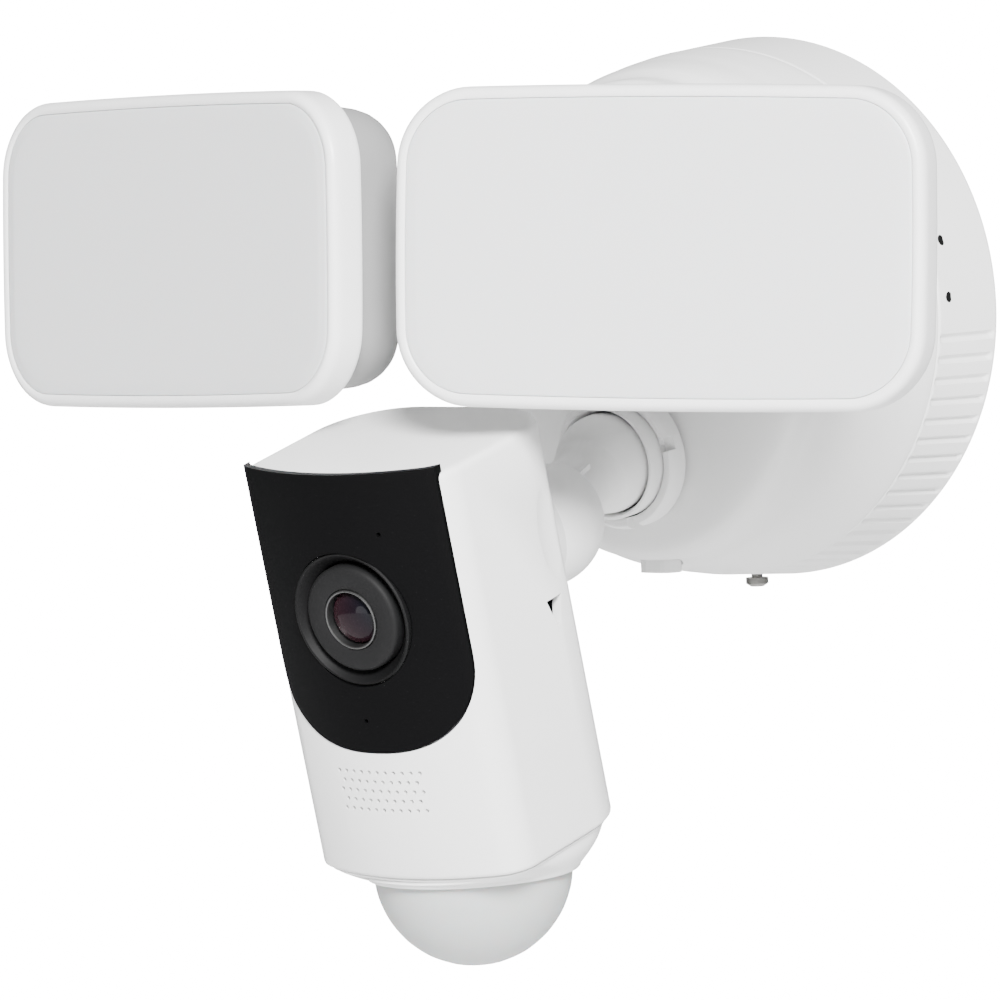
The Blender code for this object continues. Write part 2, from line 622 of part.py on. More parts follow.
def lens(head):
    lens_piece("lens_bezel", head, [(16.6, 2.3), (13.9, 3.3), (13.9, 1.6 + 7.0), (13.6, 8.6),
                                    (13.6, 3.0), (16.3, 1.2)][::-1], BLACK_MATT)
    lens_piece("lens_plate", head, [(13.3, 0.6), (13.3, 4.6), (7.7, 4.6), (7.7, 0.3)], BLACK_MATT)
    lens_piece("lens_ring", head, [(7.4, 0.0), (7.4, 5.6), (6.8, 5.6), (6.8, 0.4)], ALUMINIUM)
    lens_piece("lens_glass", head, [(0, 0.2), (2.4, 0.4), (4.4, 0.9), (5.8, 1.6), (6.5, 2.4),
                                    (6.5, 5.3), (0, 5.3)], LENS_GLASS, False)
    lens_piece("lens_barrel", head, [(0, 6.0), (7.2, 6.0), (7.2, 12.0), (9.0, 12.0), (9.0, 17.0),
                                     (0, 17.0)], BLACK_MATT, False)


def head_inside(head):
    front = BODY_FRONT
    box("image_sensor_board", (26 * MM, 1.4 * MM, 26 * MM), BOARD, parent=head,
        location=(0, front + 18.1 * MM, LENS_HEIGHT))
    box("main_board", (48 * MM, 1.6 * MM, 74 * MM), BOARD, parent=head,
        location=(0, front + 26 * MM, -9 * MM))
    box("heat_spreader", (44 * MM, 3 * MM, 60 * MM), ALUMINIUM, 0.8 * MM, parent=head,
        location=(0, front + 29.2 * MM, -6 * MM))
    driver = [(0, 4.4), (13.6, 4.4), (14.0, 5.0), (14.0, 7.0), (9.0, 8.4), (9.0, 12.4), (0, 12.4)]
    turned("speaker", [(r * MM, -d * MM) for r, d in driver], BLACK_MATT, 24, False, parent=head,
           rotation=LIE_ALONG_Y, location=(0, front, SPEAKER_HEIGHT))
    for name, (x, z) in zip(("upper", "lower"), MIC_SPOTS):
        sag = BODY_BOW - math.sqrt(BODY_BOW ** 2 - x ** 2)
        rod("microphone_" + name, 2.2 * MM, 1.6 * MM, RUBBER, 20, parent=head,
            rotation=LIE_ALONG_Y, location=(x, front + sag + 4.4 * MM, z))


def sensor_end(head):
    """Tapered skirt, milky sensor dome and its board at the foot of the head."""
    centre = PIR_CENTRE.y - BODY_FRONT
    section = divided(body_outline(), 6 * MM)
    turns = [math.atan2(y - centre, x) for x, y in section]
    lean = Matrix.Rotation(PIR_LEAN, 4, "X")

    def narrowed(inset):
        middle = BODY_DEPTH / 2
        across, deep = 1 - inset / BODY_HALF_WIDTH, 1 - inset / middle
        return [(x * across, middle + (y - middle) * deep) for x, y in section]

    def ring(radius, height):
        spots = [lean @ Vector((radius * math.cos(turn), radius * math.sin(turn), height))
                 for turn in turns]
        return [(spot.x, centre + spot.y, spot.z) for spot in spots], PIR_CENTRE.z
    foot = BODY_BOTTOM - GAP
    outer = [(narrowed(1.2 * MM), foot), (narrowed(2.0 * MM), foot - 1.0 * MM),
             ring(26.4 * MM, -0.6 * MM), ring(25.8 * MM, -1.6 * MM)]
    skirt = loft("sensor_skirt", outer, WHITE, parent=head, location=(0, BODY_FRONT, 0))
    inner = [(narrowed(4.2 * MM), foot + 1 * MM), ring(24.9 * MM, 2.4 * MM), ring(24.9 * MM, -3 * MM)]
    cut(skirt, loft("skirt_hollow", inner, None, parent=head, location=(0, BODY_FRONT, 0)))

    def bowl(radius, steps):
        turn = [math.pi / 2 * i / steps for i in range(steps)]
        return [(radius * math.cos(a), -radius * math.sin(a)) for a in turn] + [(0, -radius)]
    inside = PIR_RADIUS - 0.9 * MM
    lip = 1.6 * MM
    dome = bowl(inside, 4)[::-1] + [(inside, lip), (PIR_RADIUS, lip)] + bowl(PIR_RADIUS, 7)
    turned("sensor_dome", dome, MILKY, 32, closed=False, parent=head, location=PIR_CENTRE,
           rotation=lean)
    board = rod("sensor_board", 17 * MM, 1.4 * MM, BOARD, 32, parent=head, rotation=lean,
                location=PIR_CENTRE + Vector((0, 0, 3.4 * MM)))
    can = rod("sensor_can", 4.6 * MM, 6 * MM, None, 24, parent=head, rotation=lean,
              location=PIR_CENTRE + Vector((0, 0, 0.4 * MM)))
    join(board, can)


def camera_fork(head):
    lobe = ball("camera_fork", 16.0 * MM, WHITE, 12, 24, parent=head, scale=(1.06, 1, 1))
    foot = box("fork_foot", (28 * MM, 13.6 * MM, 30 * MM), None, 3 * MM, parent=head,
               location=(0, -12.3 * MM, 0))
    slot = box("fork_slot", (14.2 * MM, 24 * MM, 44 * MM), None, parent=head,
               location=(0, 10.6 * MM, 0))
    pocket = rod("fork_pocket", 10.8 * MM, 14.2 * MM, None, 24, parent=head, rotation=LIE_ALONG_X)
    hole = rod("fork_pin_hole", 2.3 * MM, 60 * MM, None, 20, parent=head, rotation=LIE_ALONG_X)
    wires = rod("fork_wire_way", 4.5 * MM, 20 * MM, None, 24, parent=head, rotation=LIE_ALONG_Y,
                location=(0, -14 * MM, 0))
    join(lobe, foot)
    cut(lobe, slot, pocket, hole, wires)


# ---- lamps --------------------------------------------------------------------------------
def lamp_outline(inset_x, inset_z=None):
    inset_z = inset_x if inset_z is None else inset_z
    corner = max(LAMP_CORNER - (inset_x + inset_z) / 2, 4 * MM)
    return rounded_rectangle(LAMP_WIDTH - 2 * inset_x, LAMP_HEIGHT - 2 * inset_z, corner, 5, LAMP_BOW)


def lamp_loft(name, rings, role, frame):
    """Rings of (depth behind the front, side inset, top and bottom inset) in millimetres."""
    sections = [(lamp_outline(x * MM, z * MM), -depth * MM) for depth, x, z in rings]
    return loft(name, sections, role, parent=frame, rotation=LIE_ALONG_Y)


def lamp(side):
    hand = "right" if side > 0 else "left"
    pan_at = lamp_pan_centre(side)
    tilt_at = lamp_frame(side) @ Vector((0, LAMP_TILT_SETBACK, 0))
    pan = empty("lamp_pan_axis_" + hand, pan_at, Matrix.Rotation(side * LAMP_SPLAY, 4, "Z"))
    tilt = empty("lamp_tilt_axis_" + hand, tilt_at, lamp_frame(side).to_3x3().to_4x4())
    front = empty("lamp_front_" + hand, (0, -LAMP_TILT_SETBACK, 0), parent=tilt)

    frame = lamp_loft("lamp_frame_" + hand, [(9.5, 0.7, 0.7), (8.6, 0, 0), (2.4, 0, 0),
                                             (0.8, 0.6, 0.6), (0, 2.0, 2.0)], LAMP_WHITE, front)
    cut(frame, lamp_loft("frame_opening", [(12, 3.5, 3.5), (-3, 3.5, 3.5)], None, front))
    lamp_loft("lamp_diffuser_" + hand, [(3.4, 3.9, 3.9), (2.0, 3.9, 3.9), (1.2, 4.6, 4.6),
                                        (0.7, 6.4, 6.4)], DIFFUSER, front)
    gasket = lamp_loft("lamp_gasket_" + hand, [(5.0, 3.9, 3.9), (3.7, 3.9, 3.9)], RUBBER, front)
    cut(gasket, lamp_loft("gasket_opening", [(6, 7.5, 7.5), (3, 7.5, 7.5)], None, front))
    box("led_board_" + hand, (108 * MM, 1.6 * MM, 52 * MM), LED_BOARD, parent=front,
        location=(0, 13.5 * MM, 0))

    housing = lamp_loft("lamp_housing_" + hand,
                        [(30.3, 15, 11.5), (29.6, 11.6, 8.4), (27.6, 8.6, 6.0), (24, 6.4, 4.6),
                         (18, 5.0, 3.9), (9.8, 4.0, 3.4)], WHITE, front)
    room = lamp_loft("housing_room", [(27.4, 14.5, 11.5), (20, 8.4, 7.2), (9, 6.8, 6.2)], None, front)
    cut(housing, room)
    for x in (-9.3 * MM, 9.3 * MM):
        ear = rod("housing_ear", 6.4 * MM, 3.6 * MM, None, 24, parent=tilt, rotation=LIE_ALONG_X,
                  location=(x, 0, 0))
        root = box("housing_ear_root", (3.0 * MM, 11 * MM, 12.2 * MM), None, parent=tilt,
                   location=(x, -5.3 * MM, 0))
        join(housing, ear, root)
    cut(housing, rod("ear_hole", 2.2 * MM, 40 * MM, None, 20, parent=tilt, rotation=LIE_ALONG_X))

    gap = LAMP_PAN_SETBACK - LAMP_TILT_SETBACK
    cross = dict(parent=pan, location=(0, -gap, 0),
                 rotation=Matrix.Rotation(side * LAMP_ROLL, 4, "Y") @ LIE_ALONG_X)
    rod("lamp_tilt_pin_" + hand, 1.9 * MM, 23 * MM, STEEL, 20, **cross)
    knuckle = rod("lamp_knuckle_" + hand, 5.9 * MM, 14.2 * MM, WHITE, 24, **cross)
    join(knuckle, box("knuckle_block", (13.4 * MM, 5.2 * MM, 20.6 * MM), None, parent=pan,
                      location=(0, -gap + 4.4 * MM, 0)))
    for z in (-8.5 * MM, 8.5 * MM):
        plate = rod("knuckle_plate", 6.6 * MM, 3 * MM, None, 24, parent=pan, location=(0, 0, z))
        root = box("knuckle_plate_root", (12.6 * MM, gap - 4 * MM, 2.8 * MM), None, parent=pan,
                   location=(0, -(gap - 4 * MM) / 2, z))
        join(knuckle, plate, root)
    cut(knuckle, rod("knuckle_pan_hole", 1.9 * MM, 30 * MM, None, 20, parent=pan))
    cut(knuckle, rod("knuckle_tilt_hole", 2.2 * MM, 30 * MM, None, 20, **cross))

    root = lamp_arm_frame(side)
    reach = (pan_at - root.translation).length
    arm = rod("lamp_arm_" + hand, 7.3 * MM, reach - 8 * MM, WHITE, 32)
    set_frame(arm, root, (reach - 16 * MM) / 2)
    tip = set_frame(rod("lamp_arm_tip", 6.2 * MM, 20 * MM, None, 32), root, reach - 10.2 * MM)
    barrel = rod("lamp_arm_barrel", 6.5 * MM, 13.2 * MM, None, 32, location=pan_at)
    join(arm, tip, barrel)
    cut(arm, rod("lamp_arm_pin_hole", 1.9 * MM, 30 * MM, None, 20, location=pan_at))
    rod("lamp_pan_pin_" + hand, 1.6 * MM, 21 * MM, STEEL, 20, location=pan_at)


def main():
    base_shell()
    lock_ring()
    wall_side()
    electronics()
    reset_button()
    camera_arm()
    head = head_frame()
    camera_shell(head)
    front_panel(head)
    lens(head)
    head_inside(head)
    sensor_end(head)
    camera_fork(head)
    for side in (1, -1):
        lamp(side)


main()
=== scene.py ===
# Floodlight security camera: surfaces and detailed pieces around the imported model.
import json
import math

import bmesh
import bpy
from mathutils import Matrix, Vector

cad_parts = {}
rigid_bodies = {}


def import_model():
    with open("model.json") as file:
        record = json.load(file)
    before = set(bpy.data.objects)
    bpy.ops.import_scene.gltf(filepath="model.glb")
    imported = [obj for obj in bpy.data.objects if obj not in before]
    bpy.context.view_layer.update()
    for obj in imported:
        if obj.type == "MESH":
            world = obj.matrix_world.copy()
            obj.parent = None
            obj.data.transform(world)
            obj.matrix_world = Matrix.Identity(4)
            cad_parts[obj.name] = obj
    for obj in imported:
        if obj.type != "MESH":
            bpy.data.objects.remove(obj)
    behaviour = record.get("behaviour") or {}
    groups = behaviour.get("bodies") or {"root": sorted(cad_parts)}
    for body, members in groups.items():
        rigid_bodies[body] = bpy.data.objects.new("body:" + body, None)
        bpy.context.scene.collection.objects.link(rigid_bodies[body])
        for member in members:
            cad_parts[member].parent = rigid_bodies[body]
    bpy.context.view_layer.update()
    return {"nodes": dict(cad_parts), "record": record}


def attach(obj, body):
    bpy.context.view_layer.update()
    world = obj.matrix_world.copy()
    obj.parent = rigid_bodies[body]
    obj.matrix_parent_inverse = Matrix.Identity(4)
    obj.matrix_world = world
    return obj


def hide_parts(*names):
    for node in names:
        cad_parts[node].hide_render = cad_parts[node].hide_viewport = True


mm = 0.001
for item in list(bpy.data.objects):
    bpy.data.objects.remove(item, do_unlink=True)
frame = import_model()
print("frame loaded:", len(frame["nodes"]), "nodes")

view = {"azimuth": 37.05, "elevation": 4.232, "roll": -2.317, "distance": 2.1584,
        "focal": 294.67, "target": (-0.09074, 0.0, -0.0512)}
light = {"skyTop": 0.7, "skyFoot": 0.10, "backdrop": 17.0, "key": 225.0, "fill": 16.0,
         "floorHeight": -0.42, "floorRadius": 1.3}


def placeCamera():
    turn, lift = math.radians(view["azimuth"]), math.radians(view["elevation"])
    back = Vector((math.sin(turn) * math.cos(lift), -math.cos(turn) * math.cos(lift), math.sin(lift)))
    right = Vector((math.cos(turn), math.sin(turn), 0.0))
    up = back.cross(right)
    roll = math.radians(view["roll"])
    right, up = (right * math.cos(roll) + up * math.sin(roll),
                 up * math.cos(roll) - right * math.sin(roll))
    lens = bpy.data.cameras.new("camera")
    lens.lens, lens.sensor_width, lens.clip_end = view["focal"], 36.0, 200.0
    camera = bpy.data.objects.new("camera", lens)
    bpy.context.scene.collection.objects.link(camera)
    place = Vector(view["target"]) + back * view["distance"]
    camera.matrix_world = Matrix.Translation(place) @ Matrix((right, up, back)).transposed().to_4x4()
    bpy.context.scene.camera = camera


def areaLight(name, place, size, power):
    lamp = bpy.data.lights.new(name, "AREA")
    lamp.shape, lamp.size, lamp.energy = "DISK", size, power
    holder = bpy.data.objects.new(name, lamp)
    bpy.context.scene.collection.objects.link(holder)
    aim = Vector((0.0, -0.1, -0.02))
    turn = (aim - Vector(place)).to_track_quat("-Z", "Y")
    holder.matrix_world = Matrix.Translation(place) @ turn.to_matrix().to_4x4()


def lightStage():
    # a pale room, dimmer towards the floor, that shows as a white backdrop
    world = bpy.data.worlds.new("softRoom")
    bpy.context.scene.world = world
    world.use_nodes = True
    tree = world.node_tree
    sky = tree.nodes["Background"]
    where = node(tree, "ShaderNodeTexCoord")
    split = node(tree, "ShaderNodeSeparateXYZ")
    rise = node(tree, "ShaderNodeMapRange")
    for label, value in (("From Min", -0.6), ("From Max", 0.7), ("To Min", light["skyFoot"]),
                         ("To Max", light["skyTop"])):
        rise.inputs[label].default_value = value
    tree.links.new(where.outputs["Generated"], split.inputs["Vector"])
    tree.links.new(split.outputs["Z"], rise.inputs["Value"])
    sky.inputs["Color"].default_value = (0.985, 0.99, 1.0, 1.0)
    tree.links.new(rise.outputs["Result"], sky.inputs["Strength"])
    backdrop = node(tree, "ShaderNodeBackground")
    backdrop.inputs["Color"].default_value = (1.0, 1.0, 1.0, 1.0)
    backdrop.inputs["Strength"].default_value = light["backdrop"]
    path = node(tree, "ShaderNodeLightPath")
    mix = node(tree, "ShaderNodeMixShader")
    tree.links.new(path.outputs["Is Camera Ray"], mix.inputs["Fac"])
    tree.links.new(sky.outputs["Background"], mix.inputs[1])
    tree.links.new(backdrop.outputs["Background"], mix.inputs[2])
    tree.links.new(mix.outputs["Shader"], tree.nodes["World Output"].inputs["Surface"])
    areaLight("keyLight", (1.42, -1.62, 1.05), 0.7, light["key"])
    areaLight("fillLight", (-0.3, -2.2, -0.75), 1.2, light["fill"])


def layFloor():
    shape = bmesh.new()
    bmesh.ops.create_circle(shape, cap_ends=True, segments=96, radius=light["floorRadius"],
                            matrix=Matrix.Translation((0, 0, light["floorHeight"])))
    mesh = bpy.data.meshes.new("floor")
    shape.to_mesh(mesh)
    shape.free()
    mesh.materials.append(finish("paleFloor", (0.9, 0.9, 0.9), 0.9, 0.01, 0.02, 300.0, 0.0))
    floor = bpy.data.objects.new("floor", mesh)
    bpy.context.scene.collection.objects.link(floor)


# shared finish: colour drift, sheen drift and fine grain at real scale
def node(tree, kind, **values):
    made = tree.nodes.new(kind)
    for name, value in values.items():
        setattr(made, name, value)
    return made


def newGroup(name, inputs, outputs):
    tree = bpy.data.node_groups.new(name, "ShaderNodeTree")
    for label, kind, value in inputs:
        socket = tree.interface.new_socket(label, in_out="INPUT", socket_type=kind)
        socket.default_value = value
    for label, kind in outputs:
        tree.interface.new_socket(label, in_out="OUTPUT", socket_type=kind)
    return tree, node(tree, "NodeGroupInput"), node(tree, "NodeGroupOutput")


def buildFinishGroup():
    # moulded or worked surface: tone drift, fine speckle, worn sheen and a fine bump
    tree, given, out = newGroup(
        "surfaceFinish",
        [("Colour", "NodeSocketColor", (0.8, 0.8, 0.8, 1)), ("Drift", "NodeSocketFloat", 0.03),
         ("Roughness", "NodeSocketFloat", 0.4), ("Sheen Drift", "NodeSocketFloat", 0.06),
         ("Grain Scale", "NodeSocketFloat", 2600.0), ("Grain Depth", "NodeSocketFloat", 0.08)],
        [("Colour", "NodeSocketColor"), ("Roughness", "NodeSocketFloat"), ("Normal", "NodeSocketVector")])
    link = tree.links.new
    where = node(tree, "ShaderNodeTexCoord")
    broad = node(tree, "ShaderNodeTexNoise")
    broad.inputs["Scale"].default_value = 22.0
    broad.inputs["Detail"].default_value = 4.0
    fine = node(tree, "ShaderNodeTexNoise")
    fine.inputs["Detail"].default_value = 3.0
    fine.inputs["Roughness"].default_value = 0.6
    smear = node(tree, "ShaderNodeTexNoise")
    smear.inputs["Scale"].default_value = 65.0
    smear.inputs["Detail"].default_value = 5.0
    for texture in (broad, fine, smear):
        link(where.outputs["Object"], texture.inputs["Vector"])
    link(given.outputs["Grain Scale"], fine.inputs["Scale"])
    centred = node(tree, "ShaderNodeMath", operation="SUBTRACT")
    centred.inputs[1].default_value = 0.5
    link(broad.outputs["Fac"], centred.inputs[0])
    drift = node(tree, "ShaderNodeMath", operation="MULTIPLY_ADD")
    link(centred.outputs[0], drift.inputs[0])
    link(given.outputs["Drift"], drift.inputs[1])
    drift.inputs[2].default_value = 1.0
    toned = node(tree, "ShaderNodeHueSaturation")
    link(given.outputs["Colour"], toned.inputs["Color"])
    link(drift.outputs[0], toned.inputs["Value"])
    sheen = node(tree, "ShaderNodeMath", operation="SUBTRACT")
    sheen.inputs[1].default_value = 0.5
    link(smear.outputs["Fac"], sheen.inputs[0])
    rough = node(tree, "ShaderNodeMath", operation="MULTIPLY_ADD", use_clamp=True)
    link(sheen.outputs[0], rough.inputs[0])
    link(given.outputs["Sheen Drift"], rough.inputs[1])
    link(given.outputs["Roughness"], rough.inputs[2])
    bump = node(tree, "ShaderNodeBump")
    bump.inputs["Distance"].default_value = 0.00005
    link(given.outputs["Grain Depth"], bump.inputs["Strength"])
    link(fine.outputs["Fac"], bump.inputs["Height"])
    link(toned.outputs["Color"], out.inputs["Colour"])
    link(rough.outputs[0], out.inputs["Roughness"])
    link(bump.outputs["Normal"], out.inputs["Normal"])
    return tree


finishGroup = buildFinishGroup()


def finish(name, colour, roughness, drift=0.03, sheenDrift=0.06, grain=2600.0, depth=0.08, **sockets):
    made = bpy.data.materials.new(name)
    made.use_nodes = True
    tree = made.node_tree
    shader = tree.nodes["Principled BSDF"]
    surface = node(tree, "ShaderNodeGroup", node_tree=finishGroup)
    values = {"Colour": (*colour, 1.0), "Drift": drift, "Roughness": roughness,
              "Sheen Drift": sheenDrift, "Grain Scale": grain, "Grain Depth": depth}
    for label, value in values.items():
        surface.inputs[label].default_value = value
    tree.links.new(surface.outputs["Colour"], shader.inputs["Base Color"])
    tree.links.new(surface.outputs["Roughness"], shader.inputs["Roughness"])
    tree.links.new(surface.outputs["Normal"], shader.inputs["Normal"])
    for label, value in sockets.items():
        shader.inputs[label].default_value = value
    return made


def glossPanel():
    # polished black plastic with a trace of dust and handling in the gloss
    return finish("glossPanel", (0.0022, 0.0022, 0.0024), 0.30, 0.2, 0.03, 900.0, 0.0,
                  **{"Specular IOR Level": 0.03})


def boardFinish(name, base, trace, scale):
    # solder mask with copper runs and pads showing through
    made = finish(name, base, 0.45, 0.1, 0.1, 1800.0, 0.05)
    tree = made.node_tree
    surface = next(n for n in tree.nodes if n.type == "GROUP")
    where = node(tree, "ShaderNodeTexCoord")
    runs = node(tree, "ShaderNodeTexBrick")
    runs.inputs["Scale"].default_value = scale
    runs.inputs["Mortar Size"].default_value = 0.06
    runs.inputs["Color1"].default_value = (*base, 1)
    runs.inputs["Color2"].default_value = (*[v * 0.8 for v in base], 1)
    runs.inputs["Mortar"].default_value = (*trace, 1)
    tree.links.new(where.outputs["Object"], runs.inputs["Vector"])
    tree.links.new(runs.outputs["Color"], surface.inputs["Colour"])
    return made


def lensGlass():
    # dark element; the red-violet of its coating is a painted reflection, laid into the colour as the
    # surface turns from view
    made = finish("coatedLens", (0.012, 0.010, 0.016), 0.07, 0.1, 0.02, 900.0, 0.0,
                  **{"Specular IOR Level": 0.12})
    tree = made.node_tree
    surface = next(n for n in tree.nodes if n.type == "GROUP")
    glintSlant = node(tree, "ShaderNodeLayerWeight")
    glintSlant.inputs["Blend"].default_value = 0.35
    # painted reflection: the ramp tints the colour red and violet as the surface turns away from view
    ramp = node(tree, "ShaderNodeValToRGB")
    steps = ramp.color_ramp
    steps.elements[0].position, steps.elements[0].color = 0.05, (0.003, 0.003, 0.005, 1)
    steps.elements[1].position, steps.elements[1].color = 0.95, (0.010, 0.006, 0.016, 1)
    middle = steps.elements.new(0.5)
    middle.color = (0.020, 0.007, 0.010, 1)
    tree.links.new(glintSlant.outputs["Facing"], ramp.inputs["Fac"])
    tree.links.new(ramp.outputs["Color"], surface.inputs["Colour"])
    return made


# one look per slot; lampCan is painted shade: a grey fitted to the lamp backs, darker than the other white
# plastic, that stands in for the shade falling on them
materials = {
    "white_housing": finish("whiteShell", (0.80, 0.80, 0.795), 0.42, 0.025, 0.08, 3200.0, 0.09),
    "lamp_frame_white": finish("lampRimWhite", (0.82, 0.82, 0.82), 0.36, 0.02, 0.06, 3200.0, 0.06),
    "opal_diffuser": finish("opalSheet", (0.64, 0.645, 0.65), 0.42, 0.015, 0.05, 1400.0, 0.05,
                            **{"Subsurface Weight": 0.12, "Subsurface Scale": 0.004}),
    "black_panel": glossPanel(),
    "black_plastic": finish("blackPlastic", (0.004, 0.004, 0.0042), 0.6, 0.1, 0.1, 2600.0, 0.12,
                            **{"Specular IOR Level": 0.12}),
    "lens_glass": lensGlass(),
    "steel": finish("platedSteel", (0.30, 0.295, 0.28), 0.34, 0.08, 0.2, 1500.0, 0.1, Metallic=1.0),
    "aluminium": finish("spunAluminium", (0.55, 0.55, 0.56), 0.34, 0.05, 0.15, 2200.0, 0.1, Metallic=1.0),
    "lensFace": finish("lensFaceGrey", (0.0062, 0.0062, 0.0065), 0.65, 0.08, 0.1, 1500.0, 0.1,
                       **{"Specular IOR Level": 0.15}),
    # painted shade: a darker grey on the lamp backs stands in for the shade that falls on them
    "lampCan": finish("lampCanPaintedShade", (0.26, 0.26, 0.26), 0.5, 0.025, 0.08, 3200.0, 0.09),
    "lensTrim": finish("darkTrim", (0.10, 0.10, 0.10), 0.45, 0.05, 0.15, 2200.0, 0.05, Metallic=1.0),
    "grey_rubber": finish("greyRubber", (0.075, 0.075, 0.078), 0.78, 0.08, 0.1, 1900.0, 0.25),
    "circuit_board": boardFinish("greenBoard", (0.015, 0.12, 0.055), (0.03, 0.2, 0.09), 260.0),
    "led_board": boardFinish("whiteBoard", (0.78, 0.77, 0.70), (0.66, 0.64, 0.5), 120.0),
    "milky_sensor_dome": finish("milkyDome", (0.46, 0.46, 0.455), 0.38, 0.02, 0.05, 700.0, 0.06,
                                **{"Subsurface Weight": 0.35, "Subsurface Scale": 0.006}),
    "green_screw": finish("greenScrew", (0.03, 0.26, 0.08), 0.38, 0.05, 0.1, 1500.0, 0.1, Metallic=0.6),
    "cream_plastic": finish("creamPlastic", (0.70, 0.64, 0.48), 0.5, 0.05, 0.1, 2600.0, 0.12),
}


def paintNodes():
    slots = {part["node"]: part["material_slot"] for part in frame["record"]["subparts"]}
    for name, item in frame["nodes"].items():
        item.data.materials.clear()
        item.data.materials.append(materials[slots[name]])
    print("materials on", len(slots), "nodes")


# mesh helpers
def shaded(mesh, angle=32.0):
    mesh.shade_smooth()
    mesh.set_sharp_from_angle(angle=math.radians(angle))


def newPiece(name, shape, place=None, angle=32.0):
    bmesh.ops.recalc_face_normals(shape, faces=shape.faces)
    mesh = bpy.data.meshes.new(name)
    shape.to_mesh(mesh)
    shape.free()
    mesh.transform(place or Matrix.Identity(4))
    if place and place.determinant() < 0:
        mesh.flip_normals()
    shaded(mesh, angle)
    item = bpy.data.objects.new(name, mesh)
    bpy.context.scene.collection.objects.link(item)
    return item


def skin(name, rings, place=None, loop=False, angle=32.0):
    # faces between rings of equal point counts; a loop joins the last ring to the first
    shape = bmesh.new()
    rows = [[shape.verts.new(point) for point in ring] for ring in rings]
    count = len(rows[0])
    pairs = list(zip(rows, rows[1:])) + ([(rows[-1], rows[0])] if loop else [])
    for lower, upper in pairs:
        for i in range(count):
            j = (i + 1) % count
            shape.faces.new((lower[i], lower[j], upper[j], upper[i]))
    if not loop:
        shape.faces.new(rows[0])
        shape.faces.new(rows[-1])
    return newPiece(name, shape, place, angle)


def turned(name, profile, steps, place=None, loop=False, angle=32.0):
    # profile of (radius, height) about local Z; a radius of nought closes to a point
    rings = [[(max(r, 1e-6) * math.cos(2 * math.pi * i / steps),
               max(r, 1e-6) * math.sin(2 * math.pi * i / steps), h)
              for i in range(steps)] for r, h in profile]
    item = skin(name, rings, place, loop, angle)
    shape = bmesh.new()
    shape.from_mesh(item.data)
    bmesh.ops.remove_doubles(shape, verts=shape.verts, dist=0.000004)
    shape.to_mesh(item.data)
    shape.free()
    shaded(item.data, angle)
    return item


def scaled(pairs):
    return [(a * mm, b * mm) for a, b in pairs]


def arc(x, y, radius, start, end, steps):
    turn = [math.radians(start + (end - start) * i / steps) for i in range(steps + 1)]
    return [(x + radius * math.cos(a), y + radius * math.sin(a)) for a in turn]


def carve(item, others, operation="DIFFERENCE", angle=32.0):
    for other in others:
        step = item.modifiers.new("carve", "BOOLEAN")
        step.operation, step.solver, step.object = operation, "EXACT", other
    bpy.context.view_layer.update()
    held = item.evaluated_get(bpy.context.evaluated_depsgraph_get())
    mesh = bpy.data.meshes.new_from_object(held)
    item.modifiers.clear()
    item.data = mesh
    shape = bmesh.new()
    shape.from_mesh(mesh)
    bmesh.ops.remove_doubles(shape, verts=shape.verts, dist=0.000005)
    bmesh.ops.dissolve_degenerate(shape, edges=shape.edges, dist=0.000005)
    shape.to_mesh(mesh)
    shape.free()
    shaded(mesh, angle)
    for other in others:
        bpy.data.objects.remove(other, do_unlink=True)
    return item


def settle(item, look, body, *nodes):
    item.data.materials.clear()
    item.data.materials.append(materials[look])
    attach(item, body)
    if nodes:
        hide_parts(*nodes)
    return item


layAlongX = Matrix.Rotation(math.pi / 2, 4, "Y")
layAlongY = Matrix.Rotation(math.pi / 2, 4, "X")   # local Z turns to -Y, local Y to +Z

# the two lamps; inset is from the rim's edge, depth from its front
lampSize = {"centre": (75.0, -155.2, 23.5), "splay": 13.4, "pitch": 3.3, "roll": 1.4,
            "width": 133.9, "height": 75.6, "corner": 18.0, "bow": 0.9}


def lampPlace(side):
    x, y, z = lampSize["centre"]
    turn = (Matrix.Rotation(side * math.radians(lampSize["splay"]), 4, "Z")
            @ Matrix.Rotation(-math.radians(lampSize["pitch"]), 4, "X")
            @ Matrix.Rotation(side * math.radians(lampSize["roll"]), 4, "Y"))
    return Matrix.Translation(Vector((side * x, y, z)) * mm) @ turn @ layAlongY


def lampRing(inset, depth, topInset=None):
    topInset = inset if topInset is None else topInset
    width, height = lampSize["width"] - 2 * inset, lampSize["height"] - 2 * topInset
    corner = max(lampSize["corner"] - (inset + topInset) / 2, 3.0)
    points = []
    for across, along, start in ((1, 1, 0), (-1, 1, 90), (-1, -1, 180), (1, -1, 270)):
        points += arc(across * (width / 2 - corner), along * (height / 2 - corner), corner,
                      start, start + 90, 16)
    dense = []
    for k, ((x, y), (nextX, nextY)) in enumerate(zip(points, points[1:] + points[:1])):
        parts = {16: 18, 33: 8, 50: 18, 67: 8}.get(k, 1)
        dense += [(x + (nextX - x) * i / parts, y + (nextY - y) * i / parts) for i in range(parts)]
    bow = lampSize["bow"]
    return [((x + math.copysign(bow * (1 - (2 * y / height) ** 2), x)) * mm,
             (y + math.copysign(bow * (1 - (2 * x / width) ** 2), y)) * mm, -depth * mm) for x, y in dense]


